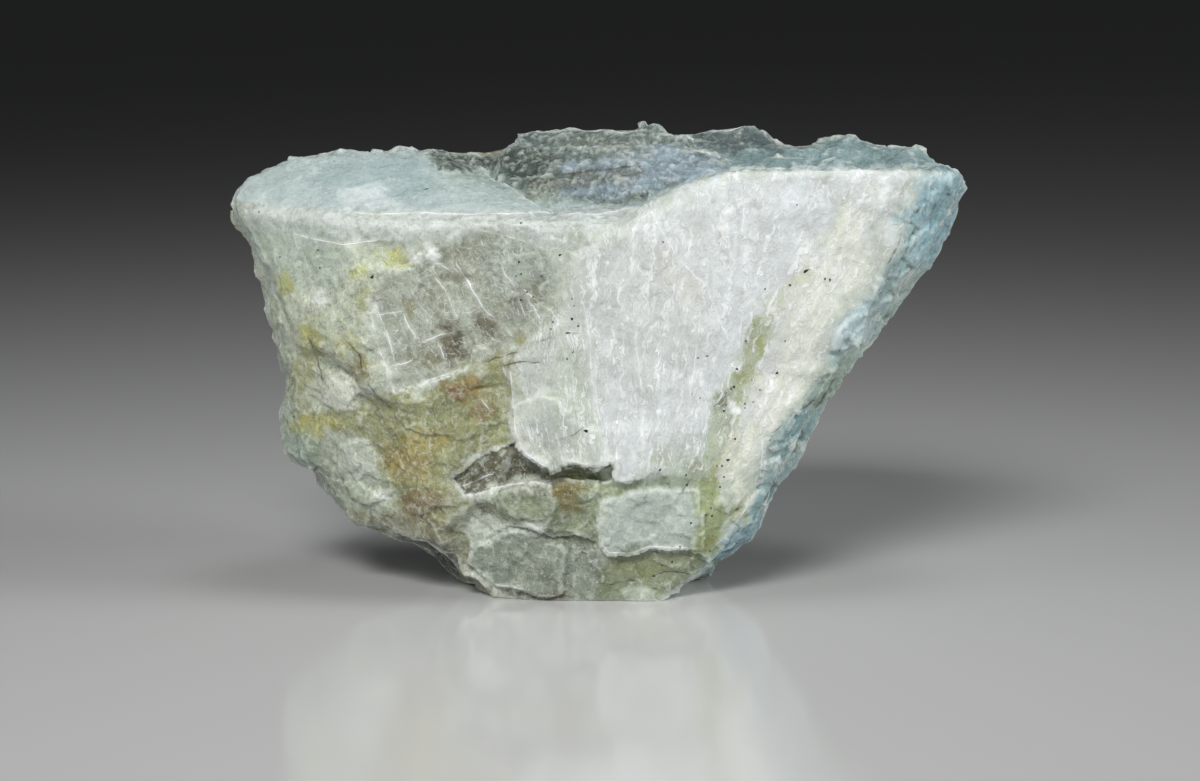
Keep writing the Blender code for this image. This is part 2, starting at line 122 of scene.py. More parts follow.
def rough(points, length, seed, layers=4):
    """Hills on hills, each layer half as wide as the one before."""
    total = np.zeros(len(points))
    for layer in range(layers):
        total += rolling(points, length / 2**layer, seed + layer) / 1.8**layer
    return total / 2


def flats(points, size, seed, lean=0.5):
    """Broken plates: each has a level and a tilt of its own. Values are about -1 to 1."""
    scaled = points @ TURNED / size
    cells = np.floor(scaled).astype(np.int64)
    nearest = np.full(len(points), 1e9)
    level = np.zeros(len(points))
    for step in np.ndindex(3, 3, 3):
        cell = cells + np.array(step) - 1
        middle = np.column_stack([chance(cell, seed + axis) for axis in range(3)]) + cell
        away = scaled - middle
        gap = (away * away).sum(axis=1)
        closer = gap < nearest
        nearest[closer] = gap[closer]
        turn = np.column_stack([chance(cell, seed + 5 + axis) for axis in range(3)]) * 2 - 1
        here = (chance(cell, seed + 9) * 2 - 1) * (1 - lean) + lean * (turn * away).sum(axis=1) * 2
        level[closer] = here[closer]
    return level


def pixels_of(points):
    """Where each point shows in the picture, and how far behind the aim it is, in mm."""
    from_aim = points - AIM
    depth = from_aim @ AHEAD
    spread = (1 + depth / EYE_DISTANCE) * MM_PER_PIXEL
    across = MIDDLE[0] + from_aim[:, 0] / spread
    down = MIDDLE[1] - (from_aim @ UPRIGHT) / spread
    return np.column_stack([across, down]), depth


def inside_by(places, outline):
    """How many pixels each place lies inside a closed outline, less than nothing outside it."""
    corners = np.array(outline, float)
    nearest = np.full(len(places), 1e9)
    inside = np.zeros(len(places), bool)
    for start, end in zip(corners, np.roll(corners, -1, axis=0)):
        side = end - start
        part = np.clip((places - start) @ side / (side @ side), 0, 1)
        gap = np.linalg.norm(places - start - part[:, None] * side, axis=1)
        nearest = np.minimum(nearest, gap)
        if start[1] != end[1]:
            spans = (start[1] > places[:, 1]) != (end[1] > places[:, 1])
            crossing = start[0] + (places[:, 1] - start[1]) * side[0] / side[1]
            inside ^= spans & (places[:, 0] < crossing)
    return np.where(inside, nearest, -nearest)


def points_of(mesh):
    flat = np.empty(len(mesh.vertices) * 3)
    mesh.vertices.foreach_get("co", flat)
    return flat.reshape(-1, 3)


def corners_of(mesh):
    mesh.calc_loop_triangles()
    flat = np.empty(len(mesh.loop_triangles) * 3, np.int64)
    mesh.loop_triangles.foreach_get("vertices", flat)
    return flat.reshape(-1, 3)


def edges_of(mesh):
    flat = np.empty(len(mesh.edges) * 2, np.int64)
    mesh.edges.foreach_get("vertices", flat)
    return flat.reshape(-1, 2)


def directions_of(points, corners):
    """The outward direction at each point."""
    first, second, third = (points[corners[:, i]] for i in range(3))
    facing = np.cross(second - first, third - first)
    total = np.zeros_like(points)
    for axis in range(3):
        for i in range(3):
            total[:, axis] += np.bincount(corners[:, i], facing[:, axis], len(points))
    return total / np.maximum(np.linalg.norm(total, axis=1), 1e-12)[:, None]


def evened(values, edges, rounds, push=0.5, pull=-0.52):
    """Values blended with those of their neighbours, without shrinking the whole."""
    values = values.copy()
    count = np.bincount(edges.ravel(), minlength=len(values))
    wide = values.reshape(len(values), -1)
    for turn in range(rounds * (2 if pull else 1)):
        share = pull if pull and turn % 2 else push
        for column in range(wide.shape[1]):
            total = np.bincount(edges[:, 0], wide[edges[:, 1], column], len(values))
            total += np.bincount(edges[:, 1], wide[edges[:, 0], column], len(values))
            wide[:, column] += share * (total / count - wide[:, column])
    return wide.reshape(values.shape)


def object_of(name, mesh):
    obj = bpy.data.objects.new(name, mesh)
    bpy.context.scene.collection.objects.link(obj)
    return obj


def with_modifiers(obj, name):
    """The mesh of an object with its modifiers. The object itself goes."""
    bpy.context.view_layer.update()
    graph = bpy.context.evaluated_depsgraph_get()
    mesh = bpy.data.meshes.new_from_object(obj.evaluated_get(graph))
    mesh.name = name
    bpy.data.objects.remove(obj)
    return mesh


def fine_copy(node, fineness, most):
    """The node's skin in small even faces, then in larger ones where the front view can't see it."""
    shape = bmesh.new()
    shape.from_mesh(node.data)
    bmesh.ops.scale(shape, vec=Vector((1, 1, 1)) / MM, verts=shape.verts)
    bmesh.ops.remove_doubles(shape, verts=shape.verts, dist=0.001)
    mesh = bpy.data.meshes.new("coarse_stone")
    shape.to_mesh(mesh)
    shape.free()
    coarse = object_of("coarse_stone", mesh)
    remesh = coarse.modifiers.new("finer", "REMESH")
    remesh.mode = "VOXEL"
    remesh.voxel_size = fineness
    mesh = with_modifiers(coarse, "even_stone")
    even = object_of("even_stone", mesh)
    here = points_of(mesh)
    outward = directions_of(here, corners_of(mesh))
    sight = EYE - here
    faces_eye = (outward * sight).sum(axis=1) / np.linalg.norm(sight, axis=1)
    hidden = smooth_step(-evened(faces_eye, edges_of(mesh), 12, pull=0), -0.15, 0.15)
    group = even.vertex_groups.new(name="hidden")
    for level in range(1, 11):
        chosen = np.flatnonzero(np.round(hidden * 10) == level)
        group.add(chosen.tolist(), level / 10, "REPLACE")
    fewer = even.modifiers.new("fewer", "DECIMATE")
    fewer.ratio = min(1.0, most / len(mesh.polygons) / 2)
    fewer.vertex_group = "hidden"
    return with_modifiers(even, "rough_chiolite")


stone_mesh = fine_copy(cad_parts["chiolite"], FINENESS, MOST_TRIANGLES)
corners = corners_of(stone_mesh)
edges = edges_of(stone_mesh)
start_points = points_of(stone_mesh)
lowest = start_points.min(axis=0)
highest = start_points.max(axis=0)
points = evened(start_points, edges, EVENING_ROUNDS)
outward = directions_of(points, corners)
places, depth = pixels_of(points)
toward_eye = (outward * (EYE - points)).sum(axis=1) / np.linalg.norm(EYE - points, axis=1)

# The line where the top meets the front, from left to right.
TOP_LINE = [
    (220, 196), (245, 204), (300, 208), (345, 211), (420, 212), (480, 214), (540, 213),
    (600, 214), (640, 206), (656, 199), (687, 184), (713, 174), (736, 169), (774, 171),
    (817, 172), (850, 171), (904, 169), (947, 174), (990, 176),
]
# The line where the front meets the right flank, from the top down.
FLANK_LINE = [
    (947, 172), (925, 190), (905, 215), (898, 250), (875, 285), (850, 312), (832, 345),
    (815, 380), (795, 412), (770, 435), (763, 460), (757, 485), (747, 507), (735, 525),
    (714, 548), (700, 562), (690, 600),
]


def row_of(line, across):
    return np.interp(across, [u for u, v in line], [v for u, v in line])


def column_of(line, down):
    return np.interp(down, [v for u, v in line], [u for u, v in line])


wobble = np.column_stack([
    0.9 * rough(points, 1.6, 11) + 0.5 * flats(points, 1.3, 13, 0.2) + 0.5 * flats(points, 0.6, 15, 0.2),
    0.9 * rough(points, 1.6, 21) + 0.5 * flats(points, 1.3, 23, 0.2) + 0.5 * flats(points, 0.6, 25, 0.2),
])
wobbled = places + wobble * 5.0
shows = smooth_step(toward_eye, 0.02, 0.22)
above_line = row_of(TOP_LINE, places[:, 0]) - places[:, 1]
on_top = shows * smooth_step(above_line, -2.0, 3.0)
past_flank = wobbled[:, 0] - column_of(FLANK_LINE, places[:, 1])
on_flank = shows * (1 - on_top) * smooth_step(past_flank, -6.0, 8.0)
on_front = shows * (1 - on_top) * (1 - on_flank)
unseen = 1 - shows

# The smooth lobe on the left of the top, and the crumbled top behind it.
LOBE_TOP = [
    (225, 200), (245, 172), (300, 150), (350, 140), (412, 140), (428, 158), (445, 170),
    (480, 182), (530, 198), (590, 208), (560, 216), (420, 213), (300, 209), (240, 206),
]
CRUMBLED_TOP = [
    (428, 165), (420, 140), (520, 110), (660, 105), (685, 130), (700, 150), (735, 160), (700, 176),
    (656, 197), (600, 206), (540, 198), (480, 180),
]
on_lobe = on_top * smooth_step(inside_by(wobbled, LOBE_TOP), -3, 5)
on_crumbled = on_top * smooth_step(inside_by(wobbled, CRUMBLED_TOP), -3, 5)
on_rear = on_top * (1 - np.maximum(on_lobe, on_crumbled))

# Edges that the solid has softly and that are sharp on the stone: height, how soft the
# solid's edge is, the middle and half size of the part where it is sharp, and the outline.
MAIN_SHEET = [
    (640, 185), (690, 150), (1004, 140), (990, 361), (789, 469), (699, 480), (660, 470),
    (640, 480), (625, 481), (615, 478), (612, 461), (584, 465), (568, 461), (549, 469),
    (536, 461), (522, 449), (516, 434), (511, 400), (510, 370), (530, 330), (562, 312),
    (570, 270), (600, 235),
]
WINDOW = [
    (378, 306), (372, 285), (400, 262), (440, 240), (482, 231), (506, 236), (542, 248),
    (556, 275), (556, 310), (545, 330), (510, 345), (470, 368), (430, 380), (395, 391),
    (385, 350),
]
SHARPENED = {
    "ledge of the main sheet": (1.0, 6.5, (570, 445, 75, 60), MAIN_SHEET),
    "hollow": (-0.5, 8.0, (540, 470, 100, 60), [
        (455, 478), (482, 456), (514, 443), (531, 456), (549, 469), (584, 466), (612, 464),
        (611, 480), (560, 479), (521, 483), (497, 487), (465, 495),
    ]),
    "lower step": (-0.6, 6.0, (600, 545, 110, 40), [
        (470, 560), (486, 536), (510, 526), (526, 524), (553, 536), (575, 534), (600, 543),
        (609, 553), (632, 553), (650, 547), (682, 548), (714, 560), (714, 640), (440, 640),
    ]),
    "foot of the window": (-0.25, 7.0, (425, 382, 50, 20), WINDOW),
}
EXTRA_PLATES = {
    "white lower plate": (0.35, [
        (600, 500), (640, 488), (700, 490), (704, 548), (682, 548), (650, 547), (632, 553),
        (609, 553), (600, 543), (596, 520),
    ]),
    "grey slab": (0.45, [
        (470, 545), (500, 532), (526, 526), (553, 538), (567, 546), (562, 594), (540, 597),
        (523, 589), (505, 586), (492, 584), (468, 563),
    ]),
    "middle plate": (0.3, [
        (516, 434), (522, 449), (536, 461), (549, 469), (568, 461), (584, 465), (613, 461),
        (600, 430), (585, 425), (560, 400), (535, 395), (515, 405),
    ]),
    "low flake": (0.25, [
        (500, 493), (530, 484), (552, 482), (556, 505), (540, 520), (515, 515), (500, 505),
    ]),
    "left plate": (0.22, [
        (325, 378), (345, 370), (362, 385), (360, 410), (340, 412), (322, 402),
    ]),
    "left lower plate": (0.25, [
        (340, 442), (365, 438), (388, 462), (395, 490), (380, 505), (352, 498), (338, 470),
    ]),
    "upper flake": (0.18, [
        (489, 262), (506, 256), (540, 252), (545, 270), (530, 290), (512, 286), (500, 278),
    ]),
    "olive plate": (0.2, [
        (400, 400), (450, 392), (500, 388), (505, 420), (470, 440), (420, 432), (396, 420),
    ]),
    "right flank plate": (0.3, [
        (834, 335), (850, 318), (880, 300), (905, 290), (890, 315), (868, 340), (842, 352),
        (830, 350),
    ]),
    "right sheet fold": (0.18, [
        (723, 212), (735, 208), (740, 240), (732, 262), (722, 250),
    ]),
}

relief = np.zeros(len(points))
plate_edge_highlight = np.zeros(len(points))
for height, softness, part, outline in SHARPENED.values():
    within = inside_by(places + wobble * 2.0, outline)
    from_middle = (places - np.array(part[:2])) / np.array(part[2:])
    sharp = on_front * (1 - smooth_step(np.linalg.norm(from_middle, axis=1), 0.8, 1.3))
    crisp = smooth_step(within, -1.4, 1.4)
    relief += sharp * height * (crisp - smooth_step(within, -softness, softness))
    plate_edge_highlight = np.maximum(plate_edge_highlight, sharp * (1 - smooth_step(abs(within), 0.5, 3.0)))
for height, outline in EXTRA_PLATES.values():
    within = inside_by(places + wobble * 2.5, outline)
    relief += shows * height * smooth_step(within, -1.5, 1.5)

# Broken plates of three sizes and grains, each as high as its face asks for.
big_plates = flats(points, 3.0, 31)
middle_plates = flats(points, 1.5, 51)
small_plates = flats(points, 0.75, 55)
grains = rough(points, 0.9, 61)
on_sheet = on_front * smooth_step(inside_by(wobbled, MAIN_SHEET), -14, 16)
plainness = on_front * (1 - 0.6 * on_sheet)
RELIEF = [
    # face, and in mm the height of its big, middle and small plates and of its grains
    (plainness, 0.15, 0.09, 0.045, 0.06),
    (on_flank, 0.26, 0.16, 0.08, 0.12),
    (unseen, 0.34, 0.20, 0.08, 0.14),
    (on_rear, 0.0, 0.10, 0.06, 0.06),
]
for where, big, middle, small, grain in RELIEF:
    plates = big * big_plates + middle * middle_plates + small * small_plates
    relief += where * (plates + grain * grains)
relief += on_lobe * (0.06 * rough(points, 2.4, 131) + 0.05 * middle_plates + 0.03 * small_plates)
relief += on_crumbled * (0.26 * middle_plates + 0.14 * small_plates + 0.22 * rough(points, 1.4, 161))

# The main sheet splits into upright splinters, which fan out from a place below the stone.
FAN_FROM = (600.0, 800.0)
from_fan = wobbled - np.array(FAN_FROM)
fan_angle = np.arctan2(from_fan[:, 0], -from_fan[:, 1]) * 42.0
fan_reach = np.linalg.norm(from_fan, axis=1) * MM_PER_PIXEL
fan_places = np.column_stack([fan_angle, fan_reach * 0.14, np.zeros(len(points))])
splinters = 0.6 * flats(fan_places, 1.3, 171) + 0.4 * rolling(fan_places, 0.7, 181)
relief += on_sheet * 0.09 * splinters

# The top behind the ridge lies in thin level beds.
beds = points[:, 2] + 0.05 * points[:, 0] + 0.35 * rough(points, 3.0, 191)
bed_places = np.column_stack([beds * 4.5, points[:, 0] * 0.2, points[:, 1] * 0.2])
in_beds = 0.6 * rolling(bed_places, 1.6, 201) + 0.4 * rolling(bed_places, 0.8, 211)
relief += (on_rear * 0.12 + on_crumbled * 0.16 + on_lobe * 0.02) * in_beds

# Small pits and missing grains, more of them on the torn faces.
pits = smooth_step(rough(points, 0.9, 221), 0.28, 0.6)
relief -= pits * (0.10 * on_front + 0.16 * on_flank + 0.2 * unseen + 0.2 * on_crumbled)

relief *= smooth_step(points[:, 2], 0.02, FOOT_FADE)
points = points + outward * relief[:, None]
points = np.clip(points, lowest - OUTSIDE_MOST, highest + OUTSIDE_MOST)
on_foot = start_points[:, 2] < 0.02
points[on_foot, 2] = 0.0
points[:, 2] = np.maximum(points[:, 2], 0.0)

# Places after the relief, and how hollow or proud each point is among its neighbours.
places, depth = pixels_of(points)
wobbled = places + wobble * 5.0
outward = directions_of(points, corners)
blurred = evened(points, edges, 8, pull=0)
proud = ((points - blurred) * outward).sum(axis=1)
blurred_wide = evened(points, edges, 40, pull=0)
proud_wide = ((points - blurred_wide) * outward).sum(axis=1)


# Stains of the stone, and painted shade and light
# The real stone is milky white, with olive and brown parts that lie under its face. Its blue-green on the
# top and the right flank is painted cool light, and some dark patches are painted shade. Each one is a soft
# patch with a name, a colour, a strength and an outline.


def straight(colour):
    """A colour as a screen shows it, from 0 to 255, as light from 0 to 1."""
    value = np.array(colour, float) / 255
    return np.where(value <= 0.04045, value / 12.92, ((value + 0.055) / 1.055) ** 2.4)


def stain(tint, where, colour, strength):
    share = np.clip(where * strength, 0, 1)[:, None]
    return tint * (1 - share) + straight(colour) * share


HIDDEN_COLOURS = [
    # colour, length of its clouds in mm, seed, lower and upper limit of the clouds
    ((196, 206, 202), 9.0, 301, -2.0, -1.0),
    ((168, 186, 182), 7.0, 311, -0.10, 0.35),
    ((150, 152, 116), 6.0, 321, 0.10, 0.45),
    ((214, 220, 216), 5.0, 331, 0.05, 0.40),
    ((122, 112, 82), 4.0, 341, 0.30, 0.60),
]
tint = np.zeros_like(points)
for colour, length, seed, low, high in HIDDEN_COLOURS:
    tint = stain(tint, smooth_step(rough(points, length, seed), low, high), colour, 1.0)

# The front tint is the stone's own colour. The flank and top tints are darker and bluer, as painted shade and
# painted cool light.
FACE_TINTS_WITH_PAINTED_LIGHT = [
    ("front", on_front, (182, 190, 178), 1.0),
    ("flank", on_flank, (150, 172, 172), 1.0),
    ("rear top", on_rear, (120, 142, 144), 1.0),
    ("crumbled top", on_crumbled, (98, 112, 108), 1.0),
    ("lobe", on_lobe, (174, 188, 186), 1.0),
]
for name, where, colour, strength in FACE_TINTS_WITH_PAINTED_LIGHT:
    tint = stain(tint, where, colour, strength)

# Large soft areas: colour, strength, softness in pixels, outline.
AREAS = [
    # left half of the front
    ("band under the lobe", (190, 196, 193), 0.8, 10, [
        (240, 206), (340, 211), (420, 212), (560, 212), (640, 210), (600, 232), (545, 246),
        (482, 230), (430, 240), (400, 250), (300, 240), (250, 232),
    ]),
    ("left face", (174, 182, 160), 0.8, 12, [
        (236, 222), (300, 238), (420, 242), (392, 262), (366, 300), (380, 350), (390, 395),
        (345, 402), (290, 404), (278, 380), (268, 320), (250, 262),
    ]),
    ("grey of the left face", (168, 180, 170), 0.7, 12, [
        (236, 216), (330, 232), (345, 262), (330, 286), (290, 280), (258, 266), (244, 245),
    ]),
    ("left edge", (116, 130, 114), 0.6, 7, [
        (256, 282), (270, 310), (282, 345), (288, 385), (292, 410), (310, 440), (340, 480),
        (352, 512), (330, 505), (296, 478), (268, 450), (268, 400), (258, 340),
    ]),
    ("window", (150, 157, 142), 0.85, 9, [
        (376, 306), (372, 288), (400, 266), (440, 244), (482, 233), (506, 238), (542, 250),
        (556, 275), (560, 310), (548, 334), (512, 348), (470, 368), (430, 380), (395, 391),
        (384, 350),
    ]),
    ("olive of the lower left", (136, 138, 88), 0.85, 14, [
        (300, 402), (345, 414), (378, 396), (400, 394), (450, 374), (505, 362), (522, 372),
        (513, 410), (512, 440), (480, 455), (455, 480), (462, 530), (440, 536), (400, 512),
        (372, 470), (340, 436), (310, 432),
    ]),
    ("pale left slope", (150, 160, 138), 0.7, 9, [
        (300, 440), (340, 436), (372, 462), (398, 500), (400, 520), (362, 520), (340, 498),
        (312, 468),
    ]),
    ("brown below the slope", (118, 114, 88), 0.75, 7, [
        (350, 516), (400, 512), (450, 520), (465, 540), (470, 575), (500, 592), (490, 602),
        (455, 575), (430, 553), (395, 536), (350, 528),
    ]),
    # Painted shade on the underside, which faces down, away from the lamps.
    ("painted shade of the underside", (80, 78, 74), 0.9, 4, [
        (392, 536), (415, 537), (436, 541), (448, 552), (459, 563), (456, 572), (440, 562),
        (425, 552), (405, 546), (394, 541),
    ]),
    # Painted shade in the hollow under the ledge, on olive-brown stone.
    ("painted shade under the ledge", (66, 62, 38), 0.92, 4, [
        (452, 480), (466, 468), (482, 456), (514, 444), (531, 456), (548, 469), (575, 470),
        (560, 476), (521, 480), (497, 486), (465, 494),
    ]),
    ("green right of the hollow", (136, 148, 106), 0.85, 6, [
        (545, 470), (568, 463), (584, 467), (613, 463), (618, 480), (640, 478), (700, 474),
        (700, 486), (640, 487), (600, 496), (560, 486),
    ]),
    ("green below the ledge", (120, 130, 98), 0.8, 8, [
        (500, 490), (560, 484), (604, 496), (598, 545), (560, 542), (530, 524), (505, 522),
        (480, 510),
    ]),
    ("ochre below the ledge", (108, 100, 52), 0.8, 8, [
        (552, 474), (576, 470), (584, 486), (580, 505), (566, 512), (556, 500),
    ]),
    ("grey slab", (120, 130, 116), 0.85, 5, [
        (472, 548), (500, 535), (526, 528), (555, 540), (600, 548), (606, 600), (560, 600),
        (523, 590), (492, 585), (470, 565),
    ]),
    ("white lower patch", (172, 182, 175), 0.85, 7, [
        (602, 500), (640, 488), (700, 488), (704, 546), (682, 548), (650, 547), (632, 552),
        (609, 552), (600, 543),
    ]),
    ("green at the foot", (110, 120, 86), 0.8, 9, [
        (604, 556), (650, 550), (700, 552), (712, 560), (690, 580), (660, 600), (600, 600),
    ]),
    # Painted contact shadow where the foot meets the floor.
    ("painted contact shadow at the foot", (76, 72, 54), 0.8, 6, [
        (490, 588), (515, 590), (530, 592), (560, 590), (572, 604), (500, 606),
    ]),
    # right half of the front
    ("main sheet", (210, 216, 218), 0.9, 14, [
        (600, 300), (620, 240), (656, 205), (736, 174), (850, 174), (900, 174), (880, 230),
        (820, 330), (765, 420), (700, 465), (625, 478), (600, 455), (590, 380),
    ]),
    ("dull left of the sheet", (188, 193, 190), 0.7, 14, [
        (570, 250), (640, 222), (672, 260), (700, 300), (690, 360), (640, 400), (590, 380),
        (572, 320),
    ]),
    ("cream of the right", (220, 224, 208), 0.75, 16, [
        (838, 200), (870, 200), (868, 260), (830, 330), (800, 390), (768, 430), (742, 500),
        (722, 480), (752, 400), (775, 320), (815, 250),
    ]),
    ("green band", (144, 156, 104), 0.85, 9, [
        (768, 312), (776, 318), (768, 345), (752, 372), (742, 405), (722, 440), (718, 480),
        (728, 515), (712, 552), (690, 560), (700, 515), (702, 460), (714, 420), (730, 372),
        (748, 330),
    ]),
    ("green band, upper end", (186, 193, 154), 0.6, 8, [
        (790, 275), (810, 266), (806, 285), (786, 300), (770, 320), (764, 306),
    ]),
    ("grey left of the band", (166, 178, 163), 0.6, 10, [
        (650, 440), (705, 425), (722, 400), (735, 380), (730, 410), (706, 470), (690, 488),
        (640, 486),
    ]),
    # The blue and teal of the right end and the flank are painted cool light and cool shade.
    ("painted cool light of the right end", (148, 184, 196), 0.8, 14, [
        (925, 178), (970, 170), (970, 230), (935, 270), (905, 262), (905, 215),
    ]),
    ("pale painted cool light of the flank", (176, 198, 204), 0.8, 9, [
        (832, 340), (850, 318), (880, 296), (905, 288), (905, 306), (880, 330), (866, 350),
        (836, 362),
    ]),
    ("olive of the flank", (146, 162, 132), 0.5, 10, [
        (905, 285), (930, 268), (900, 310), (870, 350), (845, 385), (812, 420), (806, 400),
        (836, 365), (870, 335),
    ]),
    ("painted cool shade of the flank", (116, 150, 154), 0.8, 8, [
        (775, 440), (800, 412), (818, 412), (812, 432), (790, 460), (775, 500), (764, 530),
        (740, 545), (762, 500), (768, 465),
    ]),
    ("strong painted cool light of the flank", (116, 158, 178), 0.7, 6, [
        (744, 530), (768, 512), (770, 530), (740, 552), (715, 562), (722, 548),
    ]),
    # top
    # The blue-green of the lobe and the pale blue wedge of the top are a painted cool sheen from above.
    ("painted cool sheen of the lobe", (146, 166, 168), 0.6, 10, [
        (330, 160), (415, 156), (432, 176), (440, 200), (395, 205), (340, 192), (300, 182),
    ]),
    ("white of the lobe", (206, 214, 214), 0.7, 7, [
        (338, 190), (380, 188), (402, 198), (396, 210), (345, 208),
    ]),
    # Painted shade in the hollow of the top.
    ("painted shade in the hollow of the top", (66, 78, 70), 0.85, 6, [
        (430, 150), (470, 148), (500, 152), (535, 150), (560, 160), (535, 182), (490, 180),
        (440, 166),
    ]),
    ("painted cool sheen on the wedge of the top", (142, 160, 174), 0.75, 7, [
        (560, 164), (600, 156), (660, 148), (700, 152), (736, 166), (700, 176), (660, 186),
        (600, 200), (560, 196),
    ]),
    ("brown of the crumbled top", (92, 94, 80), 0.7, 6, [
        (530, 176), (600, 172), (640, 168), (640, 176), (610, 184), (560, 188), (530, 190),
    ]),
    ("brown of the rear", (62, 68, 64), 0.7, 10, [
        (676, 128), (740, 120), (770, 128), (800, 145), (740, 155), (700, 148),
    ]),
]
islands = 1.1 * rough(points, 2.2, 391) + 0.35 * flats(points, 0.9, 395, 0.2)
for name, colour, strength, softness, outline in AREAS:
    within = inside_by(wobbled, outline) + softness * 1.3 * islands
    tint = stain(tint, shows * smooth_step(within, -softness * 0.7, softness * 0.7), colour, strength)

